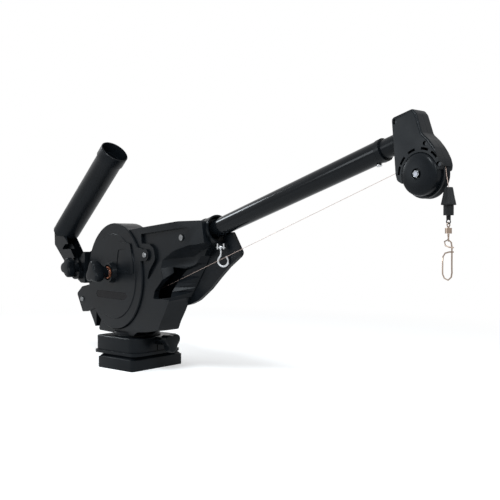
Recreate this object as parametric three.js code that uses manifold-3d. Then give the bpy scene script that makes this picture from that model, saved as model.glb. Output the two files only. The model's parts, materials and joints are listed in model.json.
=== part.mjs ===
// A downrigger: a reel in a round housing, a boom with a pulley head, and a rod holder, on a swivel base.
// Millimetres, +Z up, +X along the boom. The origin is the centre of the mounting plate's underside.
import * as THREE from 'three';
import { mergeVertices } from 'three/addons/utils/BufferGeometryUtils.js';
import Module from 'manifold-3d';

const wasm = await Module();
wasm.setup();

// Clearances
const gap = 0.3; // between pieces that touch
const overrun = 5; // how far a cutting body runs past a face
const weld = 1e-4; // corners nearer than this are one corner

// Mounting plate
const baseTurn = THREE.MathUtils.degToRad(10);
const plateHalfX = 57.8;
const plateHalfY = 74.8;
const plateCorner = 7.5;
const plateEdge = 23.5;
const plateGroove = 1.6;
const plateSlope = 8.5;
const plateHeight = 31.6;

// Screws that hold the block on the plate
const baseScrewX = 40;
const baseScrewY = 46;
const baseScrewHead = 5.6;
const baseScrewShank = 2.6;
const baseScrewHeadHeight = 4;
const baseScrewSink = 1;
const baseScrewReach = 10;

// Swivel block
const blockX = -3.5;
const blockY = -5.7;
const blockFlangeHalf = 69;
const blockFlangeCorner = 13.5;
const blockFlangeHeight = 6.4;
const blockHalf = 65.4;
const blockCorner = 12;
const blockNearCorner = 22;
const blockHeight = 37.4;
const blockEdge = 1.6;
const blockFloor = 8;
const slitWidth = 2.4;
const postRadius = 34;
const postCollar = 52;
const postCollarHeight = 3;

// Swivel lock
const lockHeight = 29.5; // above the block's underside
const lockBoss = 9;
const lockBossEnd = 86;
const lockBossStart = 61.5;
const lockStud = 3.2;
const lockKnobStart = 95;
const lockKnobRadius = 23;
const lockKnobLength = 22;

// Frame and drum
const drumX = -28.7;
const drumRadius = 117.5;
const footShare = 1.0732; // frame's foot below the drum centre
const drumLift = footShare * drumRadius;
const drumWall = 5.5;
const frameNear = -46;
const frameFar = 5;
const drumFar = -2;
const backWall = 9;
const nearWall = 5;
const channelWall = 13;
const footRadius = 50;
const footHeight = 5.5;
const panelDepth = 6;
const flareDepth = -10;
const taperStart = 205;
const taperDepth = 15;
const socketFar = 33;
const bodyShares = [
  [-0.666, -1.073, 0.04], [0.63, -1.073, 0.03], [0.76, -0.99, 0.05], [1.095, -0.955, 0.05],
  [1.453, -0.894, 0.043], [1.538, -0.741, 0.17], [1.674, -0.554, 0.17], [1.785, -0.375, 0.085],
  [1.972, -0.163, 0.17], [2.287, 0.246, 0.17], [2.474, 0.535, 0.1], [2.66, 0.62, 0.026],
  [2.6, 1.01, 0.05], [2.057, 1.003, 0.085], [0.942, 0.91, 0.085], [0.414, 0.859, 0.043],
];
const rearShares = [
  [-0.76, -1.073, 0.034], [-0.85, -0.93, 0.043], [-1.035, -0.7, 0.051], [-1.035, 0.442, 0.077],
  [-0.692, 0.535, 0.043],
];
const windowShares = [
  [1.3, -0.35, 0.026], [1.351, -0.205, 0.051], [1.572, -0.018, 0.085], [1.785, 0.127, 0.085],
  [1.972, 0.186, 0.068], [2.474, 0.212, 0.017], [2.474, -0.333, 0.017], [1.759, -0.299, 0.026],
  [1.504, -0.341, 0.026],
];
const channelShares = [
  [0.6, -0.55, 0.05], [1.3, -0.4, 0.05], [1.76, -0.3, 0.02], [2.6, -0.3, 0.02], [2.6, 0.2, 0.02],
  [1.972, 0.2, 0.1], [1.5, 0.25, 0.1], [0.75, 0.45, 0.1],
];
const flareNearShares = [
  [1.6, -0.34], [1.6, 0], [1.55, 0.2], [1.6, 0.34], [1.893, 0.483], [2.275, 0.613], [2.529, 0.648],
  [2.8, 0.7], [3, -0.34],
];
const flareFarShares = [
  [2.2, -0.34], [2.2, 0], [2.15, 0.2], [2.1, 0.34], [2.12, 0.41], [2.33, 0.51], [2.53, 0.56],
  [2.8, 0.62], [3, -0.34],
];
const ribbonShares = [ // height, then the left and the right edge, each across and in depth
  [-0.4, 1.79, -0.42, 1.79, 0.03], [-0.3, 1.8, -0.36, 1.85, 0.03], [-0.207, 1.745, -0.289, 1.933, 0.03],
  [-0.13, 1.745, -0.235, 1.997, 0.03], [-0.056, 1.75, -0.187, 2.054, 0.03], [0.063, 1.77, -0.102, 2.146, 0.03],
  [0.166, 1.897, -0.085, 2.225, 0.03], [0.3, 2.2, -0.085, 2.322, 0.03], [0.42, 2.3, -0.085, 2.4, 0.03],
];
const panelShares = [
  [0.908, 0.791, 0.017], [2.3, 0.902, 0.02], [2.4, 0.72, 0.04], [2.1, 0.57, 0.06], [1.878, 0.484, 0.068],
  [1.512, 0.306, 0.085], [1.317, 0.127, 0.068], [1.095, -0.06, 0.02], [1.17, 0.135, 0.085],
  [1.37, 0.348, 0.1], [1.32, 0.535, 0.1], [1.17, 0.62, 0.068], [0.925, 0.62, 0.026],
];
const lowerPocketShares = [
  [0.6, -0.96, 0.04], [0.8, -0.93, 0.04], [1.36, -0.82, 0.05], [1.49, -0.62, 0.1], [1.6, -0.45, 0.04],
  [1.18, -0.5, 0.06], [0.87, -0.62, 0.1], [0.69, -0.78, 0.05],
];
const beamPocketShares = [
  [0.95, 0.55, 0.05], [1.25, 0.38, 0.1], [1.55, 0.48, 0.08], [1.6, 0.86, 0.04], [0.8, 0.8, 0.04],
  [0.8, 0.7, 0.05],
];
const farBeamShares = [
  [0.15, 0.62, 0.05], [1.0, 0.47, 0.1], [1.85, 0.44, 0.1], [2.3, 0.5, 0.08], [2.66, 0.62, 0.026],
  [2.6, 1.01, 0.05], [2.057, 1.003, 0.085], [0.942, 0.91, 0.085], [0.3, 0.8, 0.04],
];

// Boom and its socket
const boomAngle = THREE.MathUtils.degToRad(15.59);
const boomRise = 24.2; // boom axis above the drum centre, over the origin
const boomRadius = 17.5;
const boomWall = 3;
const boomStart = 182;
const boomEnd = 715.5;
const socketStart = 176;
const socketRadius = 30;
const socketDrop = 1.5; // socket axis below the boom's
const socketGroove = 268;
const socketGrooveWidth = 3;
const socketGrooveDepth = 1.8;
const collarRadius = 29.4;
const collarDrop = 3; // collar and mouth axis below the boom's
const socketEnd = 299;
const mouthRadius = 26.4;
const mouthDepth = 22;
const sealThickness = 7;
const socketScrewS = 228;
const socketScrewSeat = -40;
const socketScrewHead = 6.4;
const socketScrewShank = 3;
const socketScrewHeadHeight = 3.6;
const socketScrewWell = 8;
const plugFlange = 18.4;
const plugFlangeLength = 9;
const neckRadius = 15;
const neckLength = 66;
const endScrewS = 707;
const endScrewHead = 4.4;
const endScrewShank = 2.2;
const endScrewHeadHeight = 3.2;
const endScrewBite = 4;

// Side cover
const coverThickness = 4.2;
const coverEdge = 1.8;
const coverStepInset = 23;
const coverStep = drumRadius - coverStepInset;
const coverStepHeight = 1.6;
const spigotGap = 0.5;
const spigotRadius = drumRadius - drumWall - spigotGap;
const spigotHeight = 2.5;
const lugShares = [[1.091, 0.418], [-1.2936, -0.508]];
const leftLugThickness = 1.6;
const lugRadius = 12.5;
const lugScrewHead = 6.2;
const lugScrewShank = 2.6;
const lugScrewHeadHeight = 3.2;
const lugScrewReach = 14;
const leftLugShares = [
  [-1.049, -0.741, 0.026], [-1.288, -0.763, 0.034], [-1.526, -0.409, 0.043], [-1.305, -0.256, 0.051],
  [-0.862, -0.18, 0.026], [-0.692, -0.631, 0.026],
];
const leftArmShares = [
  [-1.29, -0.6, 0.02], [-1.2, -0.68, 0.02], [-0.9, -0.7, 0.02], [-0.9, -0.3, 0.02], [-1.29, -0.42, 0.02],
];
const rightLugShares = [
  [0.93, 0.3, 0.02], [1.07, 0.32, 0.02], [1.16, 0.36, 0.02], [1.06, 0.51, 0.02], [0.8, 0.56, 0.02],
];
const peakShares = [
  [-0.47, 0.16, 0.03], [-0.3, 0.42, 0.05], [-0.13, 0.5, 0.06], [0.06, 0.58, 0.06], [0.2, 0.66, 0.06],
  [0.62, 0.62, 0.05], [0.72, 0.3, 0.05], [0.74, 0.08, 0.03], [0.1, 0.06, 0.03], [-0.2, -0.02, 0.04],
];
const archShares = [
  [0.13, 0.12, 0.02], [0.2, 0.5, 0.06], [0.46, 0.53, 0.06], [0.6, 0.34, 0.06], [0.62, 0.12, 0.02],
];
const peakHeight = 1.4;
const archDepth = 1.1;
const badgeWidth = 137;
const badgeHeight = 16;
const badgeRise = -42;
const badgeShift = -8; // badge centre from the drum centre
const badgeDepth = 1.1;
const badgePoint = 7;
const badgeCorner = 1;

// Clutch
const spoolX = -34;
const spoolRise = 8.4; // spool axis above the drum centre
const bossRadius = 24;
const bossTop = 21.5;
const bossHeight = 11;
const wellRadius = 17;
const wellFloor = 4;
const shaftRadius = 7.7;
const shaftNear = -100;
const clutchDiscRadius = 13;
const clutchDiscThickness = 3;
const clutchDiscNear = -63.6;
const knobNeckFar = -67;
const knobNeckRadius = 12;
const knobHeadFar = -86;
const knobHeadNear = -105;
const knobRadius = 27;
const knobEdge = 3;

// Spool
const spoolNear = -40.5;
const spoolFar = -5.6;
const spoolRoomGap = 16;
const spoolFlange = drumRadius - drumWall - spoolRoomGap;
const spoolFlangeThickness = 3;
const spoolCore = 60;
const windingRadius = 74.4;
const spoolHub = 20;
const spoolDish = 4;

// Drive on the far side
const plateGapY = 0.3;
const farPlateThickness = 8;
const farPlateShares = [
  [-0.692, -0.758, 0.17], [-0.266, -0.911, 0.128], [1.1, -0.8, 0.1], [1.35, -0.62, 0.2],
  [1.581, -0.481, 0.2], [1.83, -0.43, 0.34], [2.05, -0.35, 0.34], [2.385, -0.137, 0.5],
  [2.635, 0.068, 0.5], [2.88, 0.253, 0.3], [3.16, 0.425, 0.06], [3.205, 0.484, 0.06],
  [2.963, 0.825, 0.034], [2.74, 0.76, 0.034], [2.3, 0.48, 0.05], [1.85, 0.42, 0.08],
  [1.0, 0.45, 0.1], [0.2, 0.6, 0.1], [-0.266, 0.86, 0.5], [-0.905, 0.433, 0.5],
];
const platePinShares = [[-0.72, -0.55], [1.68, -0.18]];
const motorX = 38;
const motorRise = -26;
const drivePulley = 34;
const motorPulley = 9;
const pulleyNear = 19;
const pulleyWidth = 10;
const beltThickness = 2.4;
const beltWidth = 8;
const motorPlateNear = 32;
const motorPlateThickness = 3;
const motorRadius = 25;
const motorLength = 58;
const motorShaft = 3;
const pillarRadius = 4;
const pillarShares = [[1.24, 0], [0.15, 1.23], [-0.1, -1.24]]; // of the motor radius
const motorCoverFar = 100;
const motorCoverWall = 3.5;
const driveCoverRadius = 45;
const motorCoverRadius = 32;
const bearingOuter = 15;
const bearingNearY = -3.6;
const bearingWidth = 8;
const counterWidth = 54;
const counterHeight = 30;
const counterDepth = 4;
const counterWindowInset = 6;
const counterRise = 6;
const counterCorner = 5;
const boxCorner = 3;
const rockerWidth = 20;
const rockerHeight = 28;
const rockerDepth = 6;
const rockerTravel = 1.2;
const rockerShift = 4;
const glandRadius = 8;
const glandLength = 16;
const glandBore = 3.2;
const glandStem = 5.2;
const glandX = 34;

// Hook under the socket
const hookX = 301.3;
const hookY = -6;
const hookDrop = 41.5; // pin below the boom axis
const hookTurn = THREE.MathUtils.degToRad(36);
const hookWire = 2.3;
const hookPin = 1.8;
const hookPinHalf = 8.5;
const hookEarThickness = 2.4;
const hookEarHeight = 11;
const hookShank = 18.5;
const hookLoop = 10;
const hookEye = 4.4;
const shankShares = [[0, 0], [0, 0.4], [-0.16, 0.7]]; // across the loop, down the shank

// Rod holder
const rodPivotReach = 29.6875; // rod pivot behind the bracket face
const rodPivotX = drumX + rearShares[2][0] * drumRadius - rodPivotReach;
const rodPivotRise = 15.4; // above the drum centre
const rodPivotY = -52;
const rodLegLength = 121;
const rodElbowReach = 91.5; // elbow behind the rod pivot
const rodElbowX = rodPivotX - rodElbowReach;
const rodElbowRise = 86.5;
const rodTilt = new THREE.Vector3(0.709, 0.11, 0.697).normalize();
const rodTubeLength = 280;
const rodTubeRadius = 30.3;
const rodBore = 26.5;
const rodMouthRadius = 32.6;
const rodMouthBore = 30;
const rodMouthLength = 25;
const rodMouthTaper = 7;
const rodHeel = 16; // elbow's cut-off corner, from the elbow
const rodFloor = 40; // closed length above the elbow
const rodLegRadius = 27.6;
const knuckleRadius = 25;
const cheekNear = 16;
const cheekFar = 17;
const cheekRadius = 28;
const cupRadius = 23;
const cupDepth = 7;
const recessDepth = 12;
const recessShares = [[0.653, -0.34, 0.08], [0.6, 0.44, 0.08], [0.449, 1, 0.08], [0.352, 0.79, 0.08]];
const tongueHalf = 5.5;
const forkDepth = 44;
const rodPin = 4;
const rodPinHead = 8;
const rodPinHeadHeight = 4;
const rodKnobRadius = 25;
const rodKnobHub = 11.5;
const rodKnobLength = 24;
const rodKnobGap = 2;
const rodShoulder = 12; // where the full round of the tube ends, from the elbow
const bracketFlange = 5.5;
const bracketLow = -36;
const bracketHigh = 37;
const bracketScrewHead = 4.2;
const bracketScrewShank = 2.1;
const bracketScrewHeadHeight = 3;
const bracketScrewReach = 12;
const bracketCorner = 6;
const bracketRound = 18;
const flangeCorner = 1;

// Pulley head
const wheelS = 784.85; // wheel axle along the boom
const wheelDrop = 61.5; // wheel axle below the boom axis
const headSize = 100;
const headHalf = 16;
const seam = 0.15;
const headShares = [
  [-0.273, 0.938, 0.04], [-0.235, 0.964, 0.03], [0.013, 0.957, 0.08], [0.125, 0.953, 0.05],
  [0.17, 0.862, 0.06], [0.19, 0.556, 0.06], [0.27, 0.43, 0.1], [0.33, 0.3, 0.12],
  [0.362, 0.12, 0.08], [0.362, 0.03, 0.06], [0.331, -0.045, 0.03], [-0.327, -0.038, 0.06],
  [-0.399, 0.039, 0.05], [-0.401, 0.143, 0.06], [-0.366, 0.362, 0.3],
];
const headScrewShares = [[-0.216, 0.881], [0.207, 0.389], [0.345, 0.03]];
const headScrewRadius = 2.4;
const headScrewHead = 3.3;
const headScrewSink = 4.5;
const headScrewHeadHeight = 2;
const headScrewCap = 4; // solid left over a screw hole
const wireWayLow = 10;
const wireWayHigh = 4;
const wireWayHalf = 4;
const wheelRadius = 34.4;
const wheelRoot = 31.9;
const wheelPlane = 2.4;
const wheelGrooveHalf = 5;
const wheelRim = 2.2;
const wheelRun = 1;
const domeRadius = 31;
const domeTop = -23;
const domeShoulder = -17.6;
const domeShares = [[0.45, 0.1], [0.68, 0.3], [0.87, 0.62], [1, 1]];
const nutRecess = 3;
const nutRoom = 7.6;
const axleRadius = 4;
const axleHead = 7;
const axleHeadHeight = 4;
const nutRadius = 5.3;
const nutHeight = 4;
const slotRadius = 36.6;
const slotWidth = 3.8;
const slotSpan = THREE.MathUtils.degToRad(20);
const slotAngles = [153, 129, 97, 60, 31].map(THREE.MathUtils.degToRad);

// Wire and terminal tackle
const wireRadius = 0.55;
const spoolWireY = -22;
const wireBreakS = 750; // where the run from the reel meets the head's length
const terminatorTop = 19.5; // below the wheel's axle
const terminatorLength = 25;
const terminatorTopRadius = 6.2;
const terminatorFootRadius = 11.2;
const sleeveRadius = 7.2;
const sleeveLength = 14;
const stemRadius = 3.2;
const stemLength = 6.5;
const ringRadius = 3.2;
const ringWire = 0.9;
const barrelRadius = 4.8;
const barrelLength = 8;
const barrelStem = 1.5;
const barrelStemLength = 2.6;
const lowerEyeDrop = 20; // swivel's lower eye below its upper eye
const snapWire = 1.1;
const snapLength = 57;
const snapOffset = 2.4; // how far a crossing stretch of the wire stands off the one it crosses
const tackleLean = 4; // the wire's lean from the wheel's groove to the terminator
const snapShares = [
  [0.133, -0.307, 1], [0.061, -0.304, 1], [-0.044, -0.319, 0.7], [-0.105, -0.365, 0.2], [-0.133, -0.456, 0],
  [-0.135, -0.667, 0], [-0.133, -0.86, 0], [-0.088, -0.958, 0], [-0.014, -1, 0], [0.053, -0.961, 0],
  [0.084, -0.868, 0], [0.084, -0.667, 0], [0.084, -0.456, 0], [0.084, -0.246, 0], [0.077, -0.105, 0],
  [0.042, -0.025, 0], [-0.014, 0, 0], [-0.077, -0.028, 0], [-0.104, -0.088, 0], [-0.067, -0.151, 0],
  [0, -0.182, -0.5], [0.077, -0.2, -1], [0.126, -0.196, -0.75],
];
const snapTurn = THREE.MathUtils.degToRad(42);

// Facets round a circle, from the largest to the smallest
const fineSides = 48;
const wideSides = 30;
const roundSides = 22;
const smallSides = 14;
const tinySides = 10;
const wireSides = 6;
const ringSteps = 16;
const lobeSteps = 24;
const cornerSteps = 4;
const cornerTurn = Math.PI / 6;

// Places worked out from the sizes above
const blockBottom = plateHeight + gap;
const blockTop = blockBottom + blockHeight;
const boreFloor = blockBottom + blockFloor;
const footZ = blockTop + gap + postCollarHeight + gap;
const lockZ = blockBottom + lockHeight;
const drumZ = footZ + drumLift;
const boomZ = drumZ + boomRise;
const spoolZ = drumZ + spoolRise;
const motorZ = drumZ + motorRise;
const coverFar = frameNear - gap;
const coverNear = coverFar - coverThickness;
const boomDirection = new THREE.Vector3(Math.cos(boomAngle), 0, Math.sin(boomAngle));
const boomNormal = new THREE.Vector3(-Math.sin(boomAngle), 0, Math.cos(boomAngle));
const boomRoot = new THREE.Vector3(0, 0, boomZ);

// Solid helpers
function solid(geometry) {
  const bare = geometry.clone();
  bare.deleteAttribute('normal');
  bare.deleteAttribute('uv');
  const merged = mergeVertices(bare, weld);
  const position = merged.attributes.position.array;
  const corners = merged.index.array;
  const kept = [];
  let volume = 0;
  const a = new THREE.Vector3();
  const b = new THREE.Vector3();
  const c = new THREE.Vector3();
  for (let i = 0; i < corners.length; i += 3) {
    const [p, q, r] = [corners[i], corners[i + 1], corners[i + 2]];
    if (p === q || q === r || r === p) continue;
    kept.push(p, q, r);
    a.fromArray(position, p * 3);
    b.fromArray(position, q * 3);
    c.fromArray(position, r * 3);
    volume += a.dot(b.cross(c));
  }
  if (volume < 0) kept.reverse();
  return new wasm.Manifold(new wasm.Mesh({
    numProp: 3,
    vertProperties: new Float32Array(position),
    triVerts: new Uint32Array(kept),
  }));
}

function shape(body) {
  const mesh = body.getMesh();
  const geometry = new THREE.BufferGeometry();
  geometry.setAttribute('position', new THREE.BufferAttribute(new Float32Array(mesh.vertProperties), 3));
  geometry.setIndex(new THREE.BufferAttribute(new Uint32Array(mesh.triVerts), 1));
  geometry.computeVertexNormals();
  return geometry;
}

const join = (first, ...others) => others.reduce((sum, other) => sum.add(other), first);
const cut = (body, ...tools) => tools.reduce((rest, tool) => rest.subtract(tool), body);

// Outline with rounded corners: each point is [x, y, corner radius]
function rounded(points, stepAngle = cornerTurn) {
  const outline = [];
  const count = points.length;
  points.forEach((point, i) => {
    const corner = new THREE.Vector2(point[0], point[1]);
    const before = new THREE.Vector2(...points[(i + count - 1) % count].slice(0, 2)).sub(corner);
    const after = new THREE.Vector2(...points[(i + 1) % count].slice(0, 2)).sub(corner);
    const half = Math.acos(THREE.MathUtils.clamp(before.dot(after) / before.length() / after.length(), -1, 1)) / 2;
    const room = Math.min(before.length(), after.length()) * 0.49;
    const reach = Math.min((point[2] ?? 0) / Math.tan(half), room);
    const radius = reach * Math.tan(half);
    if (radius < gap || Math.PI - 2 * half < stepAngle / 4) {
      outline.push(corner);
      return;
    }
    const start = corner.clone().addScaledVector(before.normalize(), reach);
    const end = corner.clone().addScaledVector(after.normalize(), reach);
    const middle = before.clone().add(after).normalize();
    const centre = corner.clone().addScaledVector(middle, radius / Math.sin(half));
    const from = start.clone().sub(centre).angle();
    let sweep = end.clone().sub(centre).angle() - from;
    if (sweep > Math.PI) sweep -= 2 * Math.PI;
    if (sweep < -Math.PI) sweep += 2 * Math.PI;
    const steps = Math.max(1, Math.ceil(Math.abs(sweep) / stepAngle));
    for (let k = 0; k <= steps; k += 1) {
      const angle = from + (sweep * k) / steps;
      outline.push(new THREE.Vector2(Math.cos(angle), Math.sin(angle)).multiplyScalar(radius).add(centre));
    }
  });
  return outline;
}

// Prism of an outline in X and Z, between two Y planes
function slabXZ(outline, near, far) {
  const geometry = new THREE.ExtrudeGeometry(new THREE.Shape(outline), {
    depth: far - near, bevelEnabled: false, curveSegments: 1,
  });
  geometry.rotateX(Math.PI / 2);
  geometry.translate(0, far, 0);
  return solid(geometry);
}

// Prism of an outline in X and Y, between two Z planes
function slabXY(outline, low, high) {
  const geometry = new THREE.ExtrudeGeometry(new THREE.Shape(outline), {
    depth: high - low, bevelEnabled: false, curveSegments: 1,
  });
  geometry.translate(0, 0, low);
  return solid(geometry);
}

// Round bars along each axis
function barY(x, z, radius, near, far, sides = roundSides, farRadius = radius) {
  const geometry = new THREE.CylinderGeometry(farRadius, radius, far - near, sides);
  geometry.translate(x, (near + far) / 2, z);
  return solid(geometry);
}

function barZ(x, y, radius, low, high, sides = roundSides, topRadius = radius) {
  const geometry = new THREE.CylinderGeometry(topRadius, radius, high - low, sides);
  geometry.rotateX(Math.PI / 2);
  geometry.translate(x, y, (low + high) / 2);
  return solid(geometry);
}

function barX(y, z, radius, start, end, sides = roundSides) {
  const geometry = new THREE.CylinderGeometry(radius, radius, end - start, sides);
  geometry.rotateZ(-Math.PI / 2);
  geometry.translate((start + end) / 2, y, z);
  return solid(geometry);
}

// Solid of revolution about a Y axis: each point is [radius, y]
function turnedY(profile, x, z, sides = wideSides) {
  const points = profile.map(([radius, y]) => new THREE.Vector2(radius, y));
  const geometry = new THREE.LatheGeometry(points, sides);
  geometry.translate(x, 0, z);
  return solid(geometry);
}

// Skin over closed rings of equal point counts, with flat ends
function loft(rings) {
  const count = rings[0].length;
  const position = [];
  const corners = [];
  rings.forEach((ring) => ring.forEach((point) => position.push(point.x, point.y, point.z)));
  for (let r = 0; r + 1 < rings.length; r += 1) {
    for (let i = 0; i < count; i += 1) {
      const a = r * count + i;
      const b = r * count + ((i + 1) % count);
      corners.push(a, b, b + count, a, b + count, a + count);
    }
  }
  [0, rings.length - 1].forEach((r, end) => {
    const middle = new THREE.Vector3();
    rings[r].forEach((point) => middle.addScaledVector(point, 1 / count));
    const hub = position.length / 3;
    position.push(middle.x, middle.y, middle.z);
    for (let i = 0; i < count; i += 1) {
      const a = r * count + i;
      const b = r * count + ((i + 1) % count);
      if (end) corners.push(a, b, hub);
      else corners.push(b, a, hub);
    }
  });
  const geometry = new THREE.BufferGeometry();
  geometry.setAttribute('position', new THREE.Float32BufferAttribute(position, 3));
  geometry.setIndex(corners);
  return solid(geometry);
}

// Rounded rectangle ring at one height; the corner at +X -Y can have a radius of its own
function roundedRing(halfX, halfY, corner, z, nearCorner = corner, steps = cornerSteps) {
  const ring = [];
  [[1, 1], [-1, 1], [-1, -1], [1, -1]].forEach(([sx, sy], k) => {
    const radius = k === 3 ? nearCorner : corner;
    for (let i = 0; i <= steps; i += 1) {
      const angle = ((k + i / steps) * Math.PI) / 2;
      const x = sx * (halfX - radius) + radius * Math.cos(angle);
      const y = sy * (halfY - radius) + radius * Math.sin(angle);
      ring.push(new THREE.Vector3(x, y, z));
    }
  });
  return ring;
}

// Ring whose radius swells into lobes, in the plane square to X, Y or Z
function lobedRing(axis, along, radius, depthShare, lobes, phase = 0, count = lobeSteps) {
  return Array.from({ length: count }, (_, i) => {
    const angle = (i / count) * 2 * Math.PI;
    const reach = radius * (1 - depthShare * (1 - Math.cos(lobes * (angle - phase))) / 2);
    const u = reach * Math.cos(angle);
    const v = reach * Math.sin(angle);
    if (axis === 'X') return new THREE.Vector3(along, u, v);
    if (axis === 'Y') return new THREE.Vector3(u, along, v);
    return new THREE.Vector3(u, v, along);
  });
}

// Wire bent along points
function wire(points, radius, sides = wireSides, closed = false, stepsPerPoint = 2) {
  const section = Array.from({ length: sides }, (_, i) => {
    const angle = (i / sides) * 2 * Math.PI;
    return new THREE.Vector2(radius * Math.cos(angle), radius * Math.sin(angle));
  });
  const path = points.length === 2
    ? new THREE.LineCurve3(points[0], points[1])
    : new THREE.CatmullRomCurve3(points, closed, 'centripetal');
  const steps = points.length === 2 ? 1 : points.length * stepsPerPoint;
  const geometry = new THREE.ExtrudeGeometry(new THREE.Shape(section), { steps, extrudePath: path });
  return solid(geometry);
}

// Closed wire ring of round section about the axis square to its plane
function wireRing(centre, radius, wireSize, sideways, sides = wireSides, steps = ringSteps) {
  const geometry = new THREE.TorusGeometry(radius, wireSize, sides, steps);
  geometry.rotateX(Math.PI / 2);
  geometry.rotateZ(sideways);
  geometry.translate(centre.x, centre.y, centre.z);
  return solid(geometry);
}

// Six-sided bar along Y
const hexY = (x, z, radius, near, far) => barY(x, z, radius, near, far, 6);

// Outline points given as shares of the drum's radius, from the drum's centre
const fromDrum = (shares) => rounded(shares.map(([x, z, r]) => (
  [drumX + x * drumRadius, drumZ + z * drumRadius, r * drumRadius]
)));

// Point on the boom's axis, or off it along the boom's normal
const alongBoom = (s, n = 0) => boomRoot.clone().addScaledVector(boomDirection, s).addScaledVector(boomNormal, n);

// Moves a solid from the boom's own axes, X along the boom, to the part's axes
function onBoom(body) {
  const degrees = THREE.MathUtils.radToDeg(boomAngle);
  return body.rotate([0, -degrees, 0]).translate([boomRoot.x, boomRoot.y, boomRoot.z]);
}

// Moves a solid from the base's own axes to the part's axes
const onBase = (body) => body.rotate([0, 0, THREE.MathUtils.radToDeg(baseTurn)]);
const onBlock = (body) => onBase(body).translate([blockX, blockY, 0]);

// Finishes
const finish = (color, roughness, metalness) => ({ color, roughness, metalness });
const blackPlastic = finish(0x303335, 0.62, 0);
const glossBlack = finish(0x0d0e10, 0.18, 0.2);
const steel = finish(0xb9bcbf, 0.3, 1);
const bronze = finish(0x9c5a3c, 0.35, 1);
const rubber = finish(0x141414, 0.85, 0);
const belt = finish(0x1b1b1b, 0.8, 0);
const wireMetal = finish(0xa09890, 0.4, 1);

const downrigger = new THREE.Group();

function piece(name, body, material) {
  const mesh = new THREE.Mesh(shape(body), new THREE.MeshStandardMaterial({ ...material, flatShading: true }));
  mesh.name = name;
  downrigger.add(mesh);
}

// Base
const baseScrewSpots = [[1, 1], [1, -1], [-1, 1], [-1, -1]].map(([x, y]) => [x * baseScrewX, y * baseScrewY]);

function mountPlate() {
  const blank = loft([
    roundedRing(plateHalfX, plateHalfY, plateCorner, 0),
    roundedRing(plateHalfX, plateHalfY, plateCorner, plateEdge),
    roundedRing(plateHalfX - plateGroove, plateHalfY - plateGroove, plateCorner, plateEdge + gap),
    roundedRing(plateHalfX - plateSlope, plateHalfY - plateSlope, plateCorner, plateHeight),
  ]);
  const wells = baseScrewSpots.flatMap(([x, y]) => [
    barZ(x, y, baseScrewHead + gap, -overrun, baseScrewSink + baseScrewHeadHeight + gap, tinySides),
    barZ(x, y, baseScrewShank + gap, 0, plateHeight + overrun, tinySides),
  ]);
  return onBase(cut(blank, ...wells));
}

const baseScrew = ([x, y]) => onBase(join(
  barZ(x, y, baseScrewHead, baseScrewSink, baseScrewSink + baseScrewHeadHeight, tinySides),
  barZ(x, y, baseScrewShank, baseScrewSink, blockBottom + baseScrewReach, tinySides),
));

function swivelBlock() {
  const flange = loft([
    roundedRing(blockFlangeHalf, blockFlangeHalf, blockFlangeCorner, blockBottom),
    roundedRing(blockFlangeHalf, blockFlangeHalf, blockFlangeCorner, blockBottom + blockFlangeHeight),
  ]);
  const body = loft([
    roundedRing(blockHalf, blockHalf, blockCorner, blockBottom, blockNearCorner),
    roundedRing(blockHalf, blockHalf, blockCorner, blockTop - blockEdge, blockNearCorner),
    roundedRing(blockHalf - blockEdge, blockHalf - blockEdge, blockCorner - blockEdge, blockTop, blockNearCorner - blockEdge),
  ]);
  const boss = barX(0, lockZ, lockBoss, lockBossStart, lockBossEnd, roundSides);
  const bore = barZ(0, 0, postRadius + gap, boreFloor, blockTop + overrun, wideSides);
  const studHole = barX(0, lockZ, lockStud + gap, 0, lockBossEnd + overrun, smallSides);
  const slit = slabXY([
    new THREE.Vector2(0, -slitWidth / 2), new THREE.Vector2(lockBossStart + lockBoss, -slitWidth / 2),
    new THREE.Vector2(lockBossStart + lockBoss, slitWidth / 2), new THREE.Vector2(0, slitWidth / 2),
  ], boreFloor, blockTop + overrun);
  const whole = onBlock(cut(join(flange, body, boss), bore, studHole, slit));
  const threads = baseScrewSpots.map(([x, y]) => (
    barZ(x, y, baseScrewShank + gap, blockBottom - overrun, blockBottom + baseScrewReach + gap, tinySides)
  ));
  return cut(whole, onBase(join(...threads)));
}

function swivelPost() {
  return onBlock(join(
    barZ(0, 0, postRadius, boreFloor + gap, footZ - gap, wideSides),
    barZ(0, 0, postCollar, blockTop + gap, footZ - gap, wideSides),
  ));
}

const lockStudStart = postRadius + 2 * gap;

const lockStudBar = () => onBlock(barX(0, lockZ, lockStud, lockStudStart, lockKnobStart + lockKnobLength / 2, smallSides));

// Three-lobed knob along X, from its rear face outwards
function lobedKnob(axis, rear, front, radius, phase) {
  const edge = (front - rear) * 0.14;
  return loft([
    lobedRing(axis, rear, radius * 0.8, 0.38, 3, phase),
    lobedRing(axis, rear + edge, radius, 0.38, 3, phase),
    lobedRing(axis, front - edge, radius, 0.38, 3, phase),
    lobedRing(axis, front, radius * 0.84, 0.38, 3, phase),
  ]);
}

function lockKnob() {
  const head = lobedKnob('X', lockKnobStart, lockKnobStart + lockKnobLength, lockKnobRadius, Math.PI / 6);
  const hub = barX(0, 0, lockBoss * 0.72, lockBossEnd + gap, lockKnobStart + overrun, smallSides);
  const bore = barX(0, 0, lockStud + gap, 0, lockKnobStart + lockKnobLength / 2 + gap, smallSides);
  return onBlock(cut(join(head, hub), bore).translate([0, 0, lockZ]));
}

// Frame
const socketScrewHole = (radius, near, far) => onBoom(barY(socketScrewS, 0, radius, near, far, smallSides));

const lugSpots = lugShares.map(([x, z]) => [drumX + x * drumRadius, drumZ + z * drumRadius]);
const lugFaces = [coverNear, coverFar - leftLugThickness];

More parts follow.
